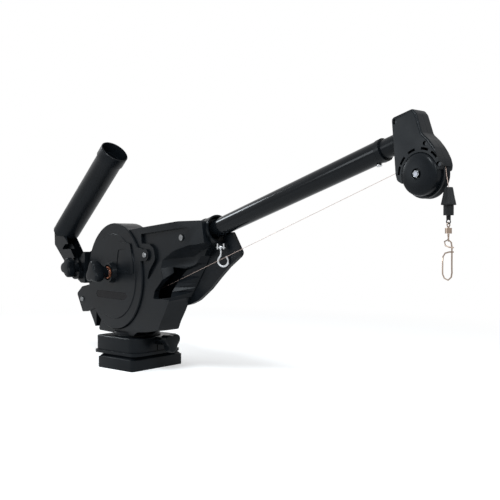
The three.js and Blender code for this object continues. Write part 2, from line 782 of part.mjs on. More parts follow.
function frameBody() {
  const body = join(
    slabXZ(fromDrum(bodyShares), frameNear, frameFar),
    slabXZ(fromDrum(rearShares), frameNear, frameFar),
    slabXZ(fromDrum(farBeamShares), frameFar - overrun, socketFar),
    barY(drumX, drumZ, drumRadius - gap, frameNear, drumFar, fineSides),
    barZ(blockX, blockY, footRadius, footZ, footZ + footHeight, wideSides),
    barY(lugSpots[1][0], lugSpots[1][1], lugRadius, frameNear, frameNear + lugScrewReach + nearWall, smallSides),
  );
  const leftArm = slabXZ(fromDrum(leftArmShares), frameNear, frameNear + lugScrewReach + nearWall);
  const spoolRoom = barY(drumX, drumZ, drumRadius - drumWall, frameNear - overrun, frameFar - backWall, fineSides);
  const window = slabXZ(fromDrum(windowShares), frameNear - overrun, frameFar - backWall);
  const channel = slabXZ(fromDrum(channelShares), frameNear + channelWall, frameFar - backWall);
  const flareRing = (shares, y) => shares.map(([x, z]) => (
    new THREE.Vector3(drumX + x * drumRadius, y, drumZ + z * drumRadius)
  ));
  const flare = loft([flareRing(flareNearShares, frameNear), flareRing(flareFarShares, flareDepth)]);
  const ahead = loft([flareRing(flareNearShares, frameNear - overrun), flareRing(flareNearShares, frameNear + gap)]);
  const panel = slabXZ(fromDrum(panelShares), frameNear - overrun, frameNear + panelDepth);
  const lowerPocket = slabXZ(fromDrum(lowerPocketShares), frameNear + nearWall, frameFar + overrun);
  const beamPocket = slabXZ(fromDrum(beamPocketShares), frameNear + panelDepth + nearWall, socketFar + overrun);
  const taper = slabXY([
    new THREE.Vector2(taperStart, frameNear), new THREE.Vector2(socketEnd, frameNear + taperDepth),
    new THREE.Vector2(socketEnd + overrun, frameNear - overrun), new THREE.Vector2(taperStart, frameNear - overrun),
  ], footZ, drumZ + 2 * drumRadius);
  const ribbonFront = loft(ribbonShares.map(([z, left, leftY, right, rightY]) => [
    [left, leftY], [right, rightY], [right + 1, rightY + 1], [right + 1, -1], [left, -1],
  ].map(([x, y]) => new THREE.Vector3(drumX + x * drumRadius, y * drumRadius, drumZ + z * drumRadius))));
  const ribbonBack = loft(ribbonShares.map(([z, left, leftY, right, rightY]) => [
    [left, leftY, 0], [right, rightY, 0], [right, 0, frameFar], [left, 0, frameFar],
  ].map(([x, y, shift]) => (
    new THREE.Vector3(drumX + x * drumRadius, y * drumRadius + shift, drumZ + z * drumRadius)
  ))));
  const pockets = [spoolRoom, channel, window, panel, lowerPocket, beamPocket, taper, flare, ahead, ribbonFront];
  const ribbon = ribbonBack.intersect(slabXZ(fromDrum(bodyShares), frameNear, frameFar));
  const shell = join(cut(join(body, leftArm), ...pockets), cut(ribbon, ribbonFront, spoolRoom));
  const socket = onBoom(cut(
    barX(0, -socketDrop, socketRadius, socketStart, socketEnd, wideSides),
    cut(
      barX(0, 0, socketRadius + 2 * overrun, socketGroove, socketEnd + overrun, wideSides),
      barX(0, -collarDrop, collarRadius, socketGroove - overrun, socketEnd + 2 * overrun, wideSides),
    ),
    cut(
      barX(0, 0, socketRadius + overrun, socketGroove, socketGroove + socketGrooveWidth, wideSides),
      barX(0, -collarDrop, collarRadius - socketGrooveDepth, socketGroove - overrun, socketEnd, wideSides),
    ),
  ));
  const beyondSocket = onBoom(barX(0, 0, socketRadius * 3, socketEnd, socketEnd + 3 * overrun, smallSides));
  const boomRoom = onBoom(join(
    barX(0, 0, boomRadius + gap, boomStart - gap, socketEnd + overrun, roundSides),
    barX(0, -collarDrop, mouthRadius, socketEnd - mouthDepth, socketEnd + overrun, wideSides),
  ));
  const screwRoom = [
    socketScrewHole(socketScrewShank + gap, frameNear - overrun, 0),
    socketScrewHole(socketScrewWell, frameNear - overrun, socketScrewSeat + gap),
  ];
  const lugHoles = lugSpots.map(([x, z]) => (
    barY(x, z, lugScrewShank + gap, frameNear - overrun, frameNear + lugScrewReach + gap, tinySides)
  ));
  const bearingSeat = barY(spoolX, spoolZ, bearingOuter + gap, bearingNearY - gap, frameFar + overrun, roundSides);
  const shaftHole = barY(spoolX, spoolZ, shaftRadius + gap + gap, frameNear, frameFar + overrun, smallSides);
  const bracketHoles = bracketScrewSpots().map(([y, z]) => (
    barX(y, z, bracketScrewShank + gap, bracketFace - overrun, bracketFace + bracketScrewReach + gap, tinySides)
  ));
  return cut(
    join(shell, socket), beyondSocket, boomRoom, ...screwRoom, ...lugHoles, bearingSeat, shaftHole, ...bracketHoles,
  );
}

// Rear face of the frame, where the rod holder's bracket sits
const bracketFace = drumX + rearShares[2][0] * drumRadius;

function bracketScrewSpots() {
  const high = drumZ + rodPivotRise + bracketHigh * 0.72;
  const low = drumZ + rodPivotRise + bracketLow * 0.5;
  return [[frameNear * 0.35, high], [frameNear * 0.35, low]];
}

// Side cover with its raised step, clutch boss and badge recess
function badgeOutline(inset) {
  const half = badgeWidth / 2 - inset;
  const tall = badgeHeight / 2 - inset;
  const x = drumX + badgeShift;
  const z = drumZ + badgeRise;
  return rounded([
    [x - half, z, gap], [x - half + badgePoint, z - tall, badgeCorner],
    [x + half - badgePoint * 2, z - tall, badgeCorner], [x + half, z, gap],
    [x + half - badgePoint, z + tall, badgeCorner], [x - half + badgePoint, z + tall, badgeCorner],
  ]);
}

function sideCover() {
  const disc = turnedY([
    [0, coverNear], [drumRadius - coverEdge, coverNear], [drumRadius, coverNear + coverEdge],
    [drumRadius, coverFar], [spigotRadius, coverFar], [spigotRadius, coverFar + spigotHeight],
    [spigotRadius - drumWall, coverFar + spigotHeight], [spigotRadius - drumWall, coverFar], [0, coverFar],
  ], drumX, drumZ, fineSides);
  const step = turnedY([
    [0, coverNear - coverStepHeight], [coverStep - coverStepHeight, coverNear - coverStepHeight],
    [coverStep, coverNear + gap], [0, coverNear + gap],
  ], drumX, drumZ, fineSides);
  const lugs = join(
    barY(lugSpots[0][0], lugSpots[0][1], lugRadius, coverNear, coverFar, roundSides),
    slabXZ(fromDrum(rightLugShares), coverNear, coverFar),
    slabXZ(fromDrum(leftLugShares), lugFaces[1], coverFar),
  );
  const face = coverNear - coverStepHeight;
  const boss = barY(spoolX, spoolZ, bossTop, face - bossHeight, face + gap, wideSides, bossRadius);
  const peak = slabXZ(fromDrum(peakShares), face - peakHeight, face + gap);
  const arch = slabXZ(fromDrum(archShares), face - peakHeight - overrun, face - peakHeight + archDepth);
  const well = barY(spoolX, spoolZ, wellRadius, face - bossHeight - overrun, coverNear + wellFloor - coverThickness, roundSides);
  const shaftHole = barY(spoolX, spoolZ, shaftRadius + 2 * gap, face - overrun, coverFar + overrun, smallSides);
  const badgeRoom = slabXZ(badgeOutline(0), face - overrun, face + badgeDepth);
  const lugHoles = lugSpots.flatMap(([x, z]) => [
    barY(x, z, lugScrewShank + gap, coverNear - overrun, coverFar + overrun, tinySides),
  ]);
  const raised = cut(join(disc, step, lugs, boss, peak), arch);
  return cut(join(raised, boss), well, shaftHole, badgeRoom, ...lugHoles);
}

const coverScrew = ([x, z], face) => join(
  barY(x, z, lugScrewHead * 0.8, face - gap - lugScrewHeadHeight, face - gap, roundSides, lugScrewHead),
  barY(x, z, lugScrewShank, face - lugScrewHeadHeight, frameNear + lugScrewReach, tinySides),
);

function badgePlate() {
  const face = coverNear - coverStepHeight;
  return slabXZ(badgeOutline(gap), face + gap, face + badgeDepth - gap);
}

// Reel
function spoolBody() {
  return turnedY([
    [shaftRadius + gap, spoolNear], [spoolHub, spoolNear], [spoolHub, spoolNear + spoolDish],
    [spoolCore - spoolDish, spoolNear + spoolDish], [spoolCore, spoolNear], [spoolFlange, spoolNear],
    [spoolFlange, spoolNear + spoolFlangeThickness], [spoolCore, spoolNear + spoolFlangeThickness],
    [spoolCore, spoolFar - spoolFlangeThickness], [spoolFlange, spoolFar - spoolFlangeThickness],
    [spoolFlange, spoolFar], [shaftRadius + gap, spoolFar], [shaftRadius + gap, spoolNear],
  ], spoolX, spoolZ, wideSides);
}

function woundWire() {
  const near = spoolNear + spoolFlangeThickness + gap;
  const far = spoolFar - spoolFlangeThickness - gap;
  return turnedY([
    [spoolCore + gap, near], [windingRadius, near], [windingRadius, far], [spoolCore + gap, far],
    [spoolCore + gap, near],
  ], spoolX, spoolZ, wideSides);
}

const spoolShaft = () => barY(spoolX, spoolZ, shaftRadius, shaftNear, pulleyNear + pulleyWidth, smallSides);

const ringY = (x, z, inner, outer, near, far, sides = roundSides) => cut(
  barY(x, z, outer, near, far, sides), barY(x, z, inner, near - overrun, far + overrun, sides),
);

const clutchDisc = () => ringY(
  spoolX, spoolZ, shaftRadius + gap, clutchDiscRadius, clutchDiscNear, clutchDiscNear + clutchDiscThickness,
);

const shaftBearing = () => ringY(
  spoolX, spoolZ, shaftRadius + gap, bearingOuter, bearingNearY, bearingNearY + bearingWidth,
);

function clutchKnob() {
  const up = Math.PI / 2;
  const head = loft([
    lobedRing('Y', knobHeadNear, knobRadius * 0.86, 0.36, 3, up),
    lobedRing('Y', knobHeadNear + knobEdge, knobRadius, 0.36, 3, up),
    lobedRing('Y', knobHeadFar, knobRadius * 0.92, 0.34, 3, up),
    lobedRing('Y', (knobHeadFar * 2 + knobNeckFar) / 3, knobNeckRadius * 1.55, 0.12, 3, up),
    lobedRing('Y', knobNeckFar, knobNeckRadius, 0, 3, up),
  ]).translate([spoolX, 0, spoolZ]);
  return cut(head, barY(spoolX, spoolZ, shaftRadius + gap, shaftNear - gap, knobNeckFar + overrun, smallSides));
}

// Drive
const farPlateNear = frameFar + plateGapY;
const farPlateFar = farPlateNear + farPlateThickness;

function farPlate() {
  const plate = slabXZ(fromDrum(farPlateShares), farPlateNear, farPlateFar);
  const boomRoom = onBoom(join(
    barX(0, -socketDrop, socketRadius + 2 * gap, socketStart - overrun, socketEnd + gap, wideSides),
    barX(0, -collarDrop, collarRadius + 2 * gap, socketGroove, socketEnd + gap, wideSides),
    barX(0, 0, boomRadius + 3 * gap, 0, boomEnd, roundSides),
  ));
  const beamRoom = slabXZ(fromDrum(farBeamShares), farPlateNear - overrun, farPlateFar + overrun);
  const shaftHole = barY(spoolX, spoolZ, shaftRadius + 2 * gap, farPlateNear - overrun, farPlateFar + overrun, smallSides);
  const grow = (gap * 2) / drumRadius;
  const beamClear = slabXZ(
    fromDrum(farBeamShares.map(([x, z, r]) => [x + (x < 1 ? -grow : grow), z + (z < 0.7 ? -grow : grow), r])),
    farPlateNear - overrun, farPlateFar + overrun,
  );
  const screwHoles = platePinSpots().map(([x, z]) => (
    barY(x, z, lugScrewShank + gap, farPlateNear - overrun, farPlateFar + overrun, tinySides)
  ));
  return cut(plate, boomRoom, beamRoom, beamClear, shaftHole, ...screwHoles);
}

const platePinSpots = () => platePinShares.map(([x, z]) => (
  [drumX + x * drumRadius, drumZ + z * drumRadius]
));

const farPlateScrew = ([x, z]) => join(
  barY(x, z, lugScrewHead, farPlateFar + gap, farPlateFar + gap + lugScrewHeadHeight, tinySides),
  barY(x, z, lugScrewShank, farPlateNear, farPlateFar + lugScrewHeadHeight, tinySides),
);

// Loop round two wheels: outline of a belt, in X and Z
function beltOutline(extra) {
  const from = new THREE.Vector2(spoolX, spoolZ);
  const to = new THREE.Vector2(motorX, motorZ);
  const line = to.clone().sub(from);
  const heading = line.angle();
  const lean = Math.acos((drivePulley - motorPulley) / line.length());
  const points = [];
  const arc = (centre, radius, start, end) => {
    const steps = Math.max(4, Math.ceil(Math.abs(end - start) / (Math.PI / 12)));
    for (let i = 0; i <= steps; i += 1) {
      const angle = start + ((end - start) * i) / steps;
      points.push(new THREE.Vector2(Math.cos(angle), Math.sin(angle)).multiplyScalar(radius).add(centre));
    }
  };
  arc(from, drivePulley + extra, heading + lean, heading + 2 * Math.PI - lean);
  arc(to, motorPulley + extra, heading - lean, heading + lean);
  return points;
}

function driveBelt() {
  const near = pulleyNear + (pulleyWidth - beltWidth) / 2;
  return cut(
    slabXZ(beltOutline(gap + beltThickness), near, near + beltWidth),
    slabXZ(beltOutline(gap), near - overrun, near + beltWidth + overrun),
  );
}

const drivePulleyWheel = () => ringY(
  spoolX, spoolZ, shaftRadius + gap, drivePulley, pulleyNear, pulleyNear + pulleyWidth, wideSides,
);

const motorPulleyWheel = () => join(
  barY(motorX, motorZ, motorPulley, pulleyNear, pulleyNear + pulleyWidth, smallSides),
  barY(motorX, motorZ, motorShaft, pulleyNear, motorPlateNear + motorPlateThickness, tinySides),
);

const pillarSpots = () => pillarShares.map(([x, z]) => [motorX + x * motorRadius, motorZ + z * motorRadius]);

function motorPlate() {
  const reach = motorCoverRadius + pillarRadius * 2.5 - motorCoverWall - 4 * gap;
  const disc = barY(motorX, motorZ, reach, motorPlateNear, motorPlateNear + motorPlateThickness, roundSides);
  const pillars = pillarSpots().map(([x, z]) => barY(x, z, pillarRadius, farPlateFar + gap, motorPlateNear + gap, tinySides));
  const driveRoom = barY(spoolX, spoolZ, drivePulley + beltThickness + 4 * gap, farPlateFar, motorPlateNear - gap, roundSides);
  const hole = barY(motorX, motorZ, motorPulley, farPlateNear, motorPlateNear + overrun * 2, smallSides);
  return cut(join(disc, ...pillars), driveRoom, hole);
}

const motorFar = motorPlateNear + motorPlateThickness + gap + motorLength;

const motorBody = () => (
  barY(motorX, motorZ, motorRadius, motorPlateNear + motorPlateThickness + gap, motorFar, roundSides)
);

function coverLoop(shrink) {
  const from = new THREE.Vector2(spoolX, spoolZ);
  const to = new THREE.Vector2(motorX, motorZ);
  const line = to.clone().sub(from);
  const heading = line.angle();
  const big = driveCoverRadius - shrink;
  const small = motorCoverRadius + pillarRadius * 2.5 - shrink;
  const lean = Math.acos((big - small) / line.length());
  const points = [];
  const arc = (centre, radius, start, end) => {
    const steps = roundSides;
    for (let i = 0; i <= steps; i += 1) {
      const angle = start + ((end - start) * i) / steps;
      points.push(new THREE.Vector2(Math.cos(angle), Math.sin(angle)).multiplyScalar(radius).add(centre));
    }
  };
  arc(from, big, heading + lean, heading + 2 * Math.PI - lean);
  arc(to, small, heading - lean, heading + lean);
  return points;
}

const counterSpot = [spoolX, spoolZ + counterRise];
const rockerSpot = [motorX + rockerShift, motorZ + rockerShift];

function boxAt([x, z], width, height, near, far, corner = boxCorner) {
  return slabXZ(rounded([
    [x - width / 2, z - height / 2, corner], [x + width / 2, z - height / 2, corner],
    [x + width / 2, z + height / 2, corner], [x - width / 2, z + height / 2, corner],
  ], Math.PI / 5), near, far);
}

const glandZ = motorZ - motorCoverRadius - pillarRadius * 2.5;
const glandY = motorPlateNear + motorLength / 2;

function motorCover() {
  const near = farPlateFar + gap;
  const shell = cut(
    slabXZ(coverLoop(0), near, motorCoverFar),
    slabXZ(coverLoop(motorCoverWall), near - overrun, motorCoverFar - motorCoverWall),
  );
  const rockerRoom = boxAt(
    rockerSpot, rockerWidth + 2 * gap, rockerHeight + 2 * gap,
    motorCoverFar - motorCoverWall - overrun, motorCoverFar + overrun, gap,
  );
  const glandHole = barZ(glandX, glandY, glandStem + gap, glandZ - overrun, motorZ - motorRadius - gap, smallSides);
  return cut(shell, rockerRoom, glandHole);
}

const powerGland = () => cut(
  join(
    barZ(glandX, glandY, glandRadius, glandZ - glandLength, glandZ - gap, smallSides),
    barZ(glandX, glandY, glandStem, glandZ - glandLength, glandZ + 2 * motorCoverWall, smallSides),
  ),
  barZ(glandX, glandY, glandBore, glandZ - glandLength - overrun, glandZ + 4 * overrun, tinySides),
);

const counterBezel = () => cut(
  boxAt(
    counterSpot, counterWidth, counterHeight,
    motorCoverFar + gap, motorCoverFar + gap + counterDepth, counterCorner,
  ),
  boxAt(counterSpot, counterWidth - 2 * counterWindowInset, counterHeight - 2 * counterWindowInset,
    motorCoverFar + counterDepth / 2, motorCoverFar + counterDepth + overrun),
);

const counterWindow = () => boxAt(
  counterSpot, counterWidth - 2 * counterWindowInset - 2 * gap, counterHeight - 2 * counterWindowInset - 2 * gap,
  motorCoverFar + counterDepth / 2 + gap, motorCoverFar + counterDepth - gap,
);

const rockerSwitch = () => {
  const low = motorCoverFar - motorCoverWall;
  const [x, z] = rockerSpot;
  const half = rockerHeight / 2;
  const outline = [
    [low, z - half + rockerTravel], [motorCoverFar + rockerDepth / 2, z - half + rockerTravel],
    [motorCoverFar + rockerDepth / 3, z], [motorCoverFar + rockerDepth / 2, z + half - rockerTravel],
    [low, z + half - rockerTravel],
  ];
  const geometry = new THREE.ExtrudeGeometry(
    new THREE.Shape(outline.map(([y, h]) => new THREE.Vector2(y, h))), { depth: rockerWidth, bevelEnabled: false },
  );
  geometry.rotateX(Math.PI / 2);
  geometry.rotateZ(Math.PI / 2);
  geometry.translate(x - rockerWidth / 2, 0, 0);
  return solid(geometry);
};

// Boom
function boomTube() {
  const tube = cut(
    barX(0, 0, boomRadius, boomStart, boomEnd, roundSides),
    barX(0, 0, boomRadius - boomWall, boomStart - overrun, boomEnd + overrun, roundSides),
    barY(socketScrewS, 0, socketScrewShank + gap, -boomRadius - overrun, 0, tinySides),
    barZ(endScrewS, 0, endScrewShank + gap, -boomRadius - overrun, 0, tinySides),
  );
  return onBoom(tube);
}

const boomSeal = () => onBoom(cut(
  barX(0, -collarDrop, mouthRadius - gap, socketEnd - mouthDepth + gap, socketEnd - mouthDepth + sealThickness, roundSides),
  barX(0, 0, boomRadius + gap, 0, boomEnd, roundSides),
));

const socketScrew = () => onBoom(join(
  barY(socketScrewS, 0, socketScrewHead, socketScrewSeat - socketScrewHeadHeight, socketScrewSeat, smallSides),
  barY(socketScrewS, 0, socketScrewShank, socketScrewSeat - gap, -boomRadius + boomWall, tinySides),
));

function boomPlug() {
  const end = boomEnd + plugFlangeLength;
  const plug = join(
    barX(0, 0, boomRadius - boomWall - gap, boomEnd - 3 * plugFlangeLength, boomEnd + overrun, roundSides),
    barX(0, 0, plugFlange, boomEnd + gap, end, roundSides),
    barX(0, 0, neckRadius, boomEnd, boomEnd + neckLength, roundSides),
  );
  return onBoom(cut(plug, barZ(endScrewS, 0, endScrewShank + gap, -boomRadius - overrun, 0, tinySides)));
}

const boomEndScrew = () => onBoom(join(
  barZ(endScrewS, 0, endScrewHead, -boomRadius - gap - endScrewHeadHeight, -boomRadius - gap, tinySides),
  barZ(endScrewS, 0, endScrewShank, -boomRadius - endScrewHeadHeight, -boomRadius + boomWall + 2 * gap + endScrewBite, tinySides),
));

// Hook
const hookZ = boomZ + hookX * Math.tan(boomAngle) - hookDrop;
const hookAcross = new THREE.Vector3(Math.cos(hookTurn), Math.sin(hookTurn), 0);

const hookSpot = new THREE.Vector3(hookX, hookY, hookZ);
const atHook = (across, up) => hookSpot.clone().addScaledVector(hookAcross, across).add(new THREE.Vector3(0, 0, up));

function hookEyeBlock() {
  const ear = (side) => {
    const geometry = new THREE.BoxGeometry(hookEarThickness, hookPin * 4, hookEarHeight);
    geometry.translate(side * (hookPinHalf - hookEarThickness), 0, hookEarHeight / 2 - hookPin * 2);
    geometry.rotateZ(hookTurn);
    geometry.translate(hookX, hookY, hookZ);
    return solid(geometry);
  };
  const bar = wire([atHook(-hookPinHalf, 0), atHook(hookPinHalf, 0)], hookPin, tinySides);
  const room = onBoom(barX(0, -collarDrop, collarRadius + gap, socketGroove, socketEnd + gap, wideSides));
  return cut(join(ear(-1), ear(1), bar), room);
}

function ballHook() {
  const ring = wireRing(hookSpot, hookEye, hookWire * 0.9, hookTurn + Math.PI / 2);
  const bottom = -hookEye - hookShank - hookLoop * 0.3;
  const path = shankShares.map(([across, down]) => (
    atHook(across * hookLoop, -hookEye - down * hookShank)
  ));
  for (let i = 0; i <= 8; i += 1) {
    const angle = Math.PI * (0.78 + 1.42 * (i / 8));
    path.push(atHook(hookLoop * (0.43 + Math.cos(angle)), bottom + hookLoop * Math.sin(angle)));
  }
  path.push(atHook(hookLoop * 1.02, bottom + hookLoop * 0.9));
  return join(ring, wire(path, hookWire, tinySides));
}

// Rod holder
const rodPivot = new THREE.Vector3(rodPivotX, rodPivotY, drumZ + rodPivotRise);
const rodElbow = new THREE.Vector3(rodElbowX, rodPivotY, drumZ + rodElbowRise);

// Round bar between two points
function barBetween(from, to, radius, sides = roundSides, endRadius = radius) {
  const line = to.clone().sub(from);
  const geometry = new THREE.CylinderGeometry(endRadius, radius, line.length(), sides);
  geometry.applyQuaternion(new THREE.Quaternion().setFromUnitVectors(new THREE.Vector3(0, 1, 0), line.clone().normalize()));
  const middle = from.clone().add(to).multiplyScalar(0.5);
  geometry.translate(middle.x, middle.y, middle.z);
  return solid(geometry);
}

function rodHolder() {
  const tubeAt = (s) => rodElbow.clone().addScaledVector(rodTilt, s);
  const legWay = rodPivot.clone().sub(rodElbow).normalize();
  const legAt = (s, across = 0) => rodPivot.clone().addScaledVector(legWay, -s)
    .add(new THREE.Vector3(-legWay.z, 0, legWay.x).multiplyScalar(across));
  const split = rodTilt.clone().sub(legWay).normalize();
  const heel = rodTilt.clone().add(legWay).normalize().negate();
  const halfSpace = (way, start) => {
    const geometry = new THREE.BoxGeometry(rodTubeLength, rodTubeLength, rodTubeLength);
    geometry.translate(0, rodTubeLength / 2 + start, 0);
    geometry.applyQuaternion(new THREE.Quaternion().setFromUnitVectors(new THREE.Vector3(0, 1, 0), way));
    geometry.translate(rodElbow.x, rodElbow.y, rodElbow.z);
    return solid(geometry);
  };
  const belowSplit = halfSpace(split.clone().negate(), 0);
  const wellBelowSplit = halfSpace(split.clone().negate(), gap);
  const mouth = tubeAt(rodTubeLength);
  const seat = tubeAt(rodTubeLength - rodMouthLength);
  const flare = tubeAt(rodTubeLength - rodMouthLength - rodMouthTaper);
  const upper = cut(barBetween(tubeAt(-2 * rodTubeRadius), mouth, rodTubeRadius), wellBelowSplit);
  const lower = barBetween(legAt(rodLegLength + 2 * rodTubeRadius), rodPivot, rodLegRadius + gap, wideSides, rodLegRadius)
    .intersect(belowSplit);
  const band = join(
    barBetween(seat, mouth, rodMouthRadius), barBetween(flare, seat, rodTubeRadius - gap, roundSides, rodMouthRadius - gap),
  );
  const near = rodPivotY - cheekNear;
  const far = rodPivotY + cheekFar;
  const knuckle = join(
    barY(rodPivot.x, rodPivot.z, knuckleRadius, near, far, roundSides),
    barY(rodPivot.x, rodPivot.z, cheekRadius, near, rodPivotY - tongueHalf - 2 * gap, roundSides),
  );
  const bore = join(
    barBetween(tubeAt(rodFloor), tubeAt(rodTubeLength + overrun), rodBore, roundSides),
    barBetween(tubeAt(rodTubeLength - rodMouthLength + 2 * gap), tubeAt(rodTubeLength + overrun), rodMouthBore, roundSides),
  );
  const forkRoom = new THREE.BoxGeometry(2 * forkDepth, 2 * (tongueHalf + gap), 4 * knuckleRadius);
  forkRoom.rotateY(Math.atan2(-legWay.z, legWay.x));
  const forkEnd = legAt(knuckleRadius + gap * 10 - forkDepth);
  forkRoom.translate(forkEnd.x, rodPivotY, forkEnd.z);
  const sides = join(
    barY(rodPivot.x, rodPivot.z, 2 * rodLegLength, near - 4 * overrun, near, roundSides),
    barY(rodPivot.x, rodPivot.z, 2 * rodLegLength, far, far + 4 * overrun, roundSides),
  );
  const trim = join(sides, halfSpace(heel, rodHeel)).intersect(halfSpace(rodTilt.clone().negate(), -rodShoulder));
  const recess = slabXZ(rounded(recessShares.map(([along, across, corner]) => {
    const point = legAt(along * rodLegLength, across * rodLegRadius);
    return [point.x, point.z, corner * rodLegRadius];
  })), near - 4 * overrun, near + recessDepth);
  const cup = barY(rodPivot.x, rodPivot.z, cupRadius, near - overrun, near + cupDepth, roundSides);
  const pinHole = barY(rodPivot.x, rodPivot.z, rodPin + gap, near - overrun, far + overrun, smallSides);
  return cut(
    join(cut(join(upper, cut(lower, sides)), trim), knuckle, band),
    bore, solid(forkRoom), recess, cup, pinHole,
  );
}

function rodBracket() {
  const near = rodPivotY - tongueHalf;
  const far = rodPivotY + tongueHalf;
  const face = bracketFace - gap;
  const low = rodPivot.z + bracketLow;
  const high = rodPivot.z + bracketHigh;
  const tongue = slabXZ(rounded([
    [face, low, flangeCorner], [face, high, flangeCorner], [face - bracketFlange, high, bracketCorner / 2],
    [rodPivot.x + knuckleRadius * 0.2, rodPivot.z + knuckleRadius * 0.9, bracketRound / 2],
    [rodPivot.x - knuckleRadius * 0.86, rodPivot.z + knuckleRadius * 0.86, bracketRound],
    [rodPivot.x - knuckleRadius * 0.86, rodPivot.z - knuckleRadius * 0.86, bracketRound],
    [rodPivot.x + knuckleRadius * 0.4, low, bracketCorner],
  ]), near, far);
  const flange = slabXZ(rounded([
    [face - bracketFlange, low, flangeCorner], [face, low, flangeCorner],
    [face, high, flangeCorner], [face - bracketFlange, high, flangeCorner],
  ]), near, frameFar - overrun);
  const swing = barY(rodPivot.x, rodPivot.z, knuckleRadius + 3 * gap, far + gap, frameFar, roundSides);
  const lift = (4 * gap) / drumRadius;
  const coverRoom = join(
    barY(drumX, drumZ, drumRadius + 4 * gap, coverNear - overrun, frameNear, fineSides),
    slabXZ(fromDrum(leftLugShares.map(([x, z, r]) => [x, z + lift, r])), coverNear - overrun, frameNear),
  );
  const pinHole = barY(rodPivot.x, rodPivot.z, rodPin + gap, near - overrun, far + overrun, smallSides);
  const screws = bracketScrewSpots().map(([y, z]) => barX(y, z, bracketScrewShank + gap, face - 3 * overrun, face + overrun, tinySides));
  return cut(join(tongue, flange), swing, coverRoom, pinHole, ...screws);
}

function bracketScrew([y, z]) {
  const seat = bracketFace - gap - bracketFlange - gap;
  return join(
    barX(y, z, bracketScrewHead, seat - bracketScrewHeadHeight, seat, tinySides),
    barX(y, z, bracketScrewShank, seat - gap, bracketFace + bracketScrewReach, tinySides),
  );
}

const rodKnobFar = rodPivotY - cheekNear - rodKnobGap;

const rodPinBar = () => join(
  barY(rodPivot.x, rodPivot.z, rodPin, rodKnobFar - rodKnobLength / 2, rodPivotY + cheekFar + gap + rodPinHeadHeight / 2, smallSides),
  hexY(rodPivot.x, rodPivot.z, rodPinHead, rodPivotY + cheekFar + gap, rodPivotY + cheekFar + gap + rodPinHeadHeight),
);

function rodKnob() {
  const head = lobedKnob('Y', rodKnobFar - rodKnobLength, rodKnobFar - overrun, rodKnobRadius, Math.PI * 0.83);
  const hub = barY(0, 0, rodKnobHub, rodKnobFar - 2 * overrun, rodPivotY - cheekNear + cupDepth - gap, smallSides);
  const bore = barY(0, 0, rodPin + gap, rodKnobFar - rodKnobLength / 2 - gap, rodPivotY, smallSides);
  return cut(join(head, hub), bore).translate([rodPivot.x, 0, rodPivot.z]);
}

// Pulley head, drawn from the wheel's axle with X along the boom
const onHead = (body) => onBoom(body.translate([wheelS, 0, -wheelDrop]));
const headOutline = () => rounded(headShares.map(([x, z, r]) => [x * headSize, z * headSize, r * headSize]));
const wheelNear = wheelPlane - wheelGrooveHalf - wheelRim;
const wheelFar = wheelPlane + wheelGrooveHalf + wheelRim;
const headSpots = headScrewShares.map(([x, z]) => [x * headSize, z * headSize]);

// Far end of a head screw: it stops short of the wheel's room, or of the far shell's outer face
function headScrewFar([x, z]) {
  const beside = Math.hypot(x, z) < wheelRadius + wheelRun + 2 * headScrewRadius;
  return beside ? wheelNear - wheelRun - 4 * gap : headHalf - headScrewCap - gap;
}

function headShell(near, far) {
  const blank = slabXZ(headOutline(), near, far);
  const wheelRoom = barY(0, 0, wheelRadius + wheelRun, wheelNear - wheelRun, wheelFar + wheelRun, wideSides);
  const domeRoom = barY(0, 0, domeRadius + wheelRun / 2, -headHalf - overrun, 0, wideSides);
  const neckRoom = barX(0, wheelDrop, neckRadius + gap, -headSize, boomEnd + neckLength + gap - wheelS, roundSides);
  const axleRoom = barY(0, 0, axleRadius + gap, 0, headHalf + overrun, smallSides);
  const wireWay = slabXZ([
    new THREE.Vector2(-headSize, wheelRoot - wireWayLow), new THREE.Vector2(0, wheelRoot - wireWayLow * 0.6),
    new THREE.Vector2(0, wheelRoot + wireWayHigh), new THREE.Vector2(-headSize, wheelRoot + wireWayHigh),
  ], wheelPlane - wireWayHalf, wheelPlane + wireWayHalf);
  const screwRoom = headSpots.flatMap(([x, z]) => [
    barY(x, z, headScrewRadius + gap, -headHalf - overrun, headScrewFar([x, z]) + gap, tinySides),
    barY(x, z, headScrewHead + gap, -headHalf - overrun, -headHalf + headScrewSink, smallSides),
  ]);
  const slots = slotAngles.map((middle) => {
    const arc = (radius, from, to) => Array.from({ length: 5 }, (_, i) => {
      const angle = from + ((to - from) * i) / 4;
      return new THREE.Vector2(radius * Math.cos(angle), radius * Math.sin(angle));
    });
    const outline = [
      ...arc(slotRadius - slotWidth / 2, middle - slotSpan / 2, middle + slotSpan / 2),
      ...arc(slotRadius + slotWidth / 2, middle + slotSpan / 2, middle - slotSpan / 2),
    ];
    return slabXZ(outline, -headHalf - overrun, wheelNear - wheelRun + gap);
  });
  return cut(blank, wheelRoom, domeRoom, neckRoom, axleRoom, wireWay, ...screwRoom, ...slots);
}

const headNear = () => onHead(headShell(-headHalf, -seam));
const headFar = () => onHead(headShell(seam, headHalf));

const headScrewNear = -headHalf + headScrewSink;

const headScrew = ([x, z]) => onHead(join(
  barY(x, z, headScrewHead, headScrewNear - headScrewHeadHeight, headScrewNear - gap, smallSides),
  barY(x, z, headScrewRadius, headScrewNear - 2 * gap, headScrewFar([x, z]), tinySides),
));

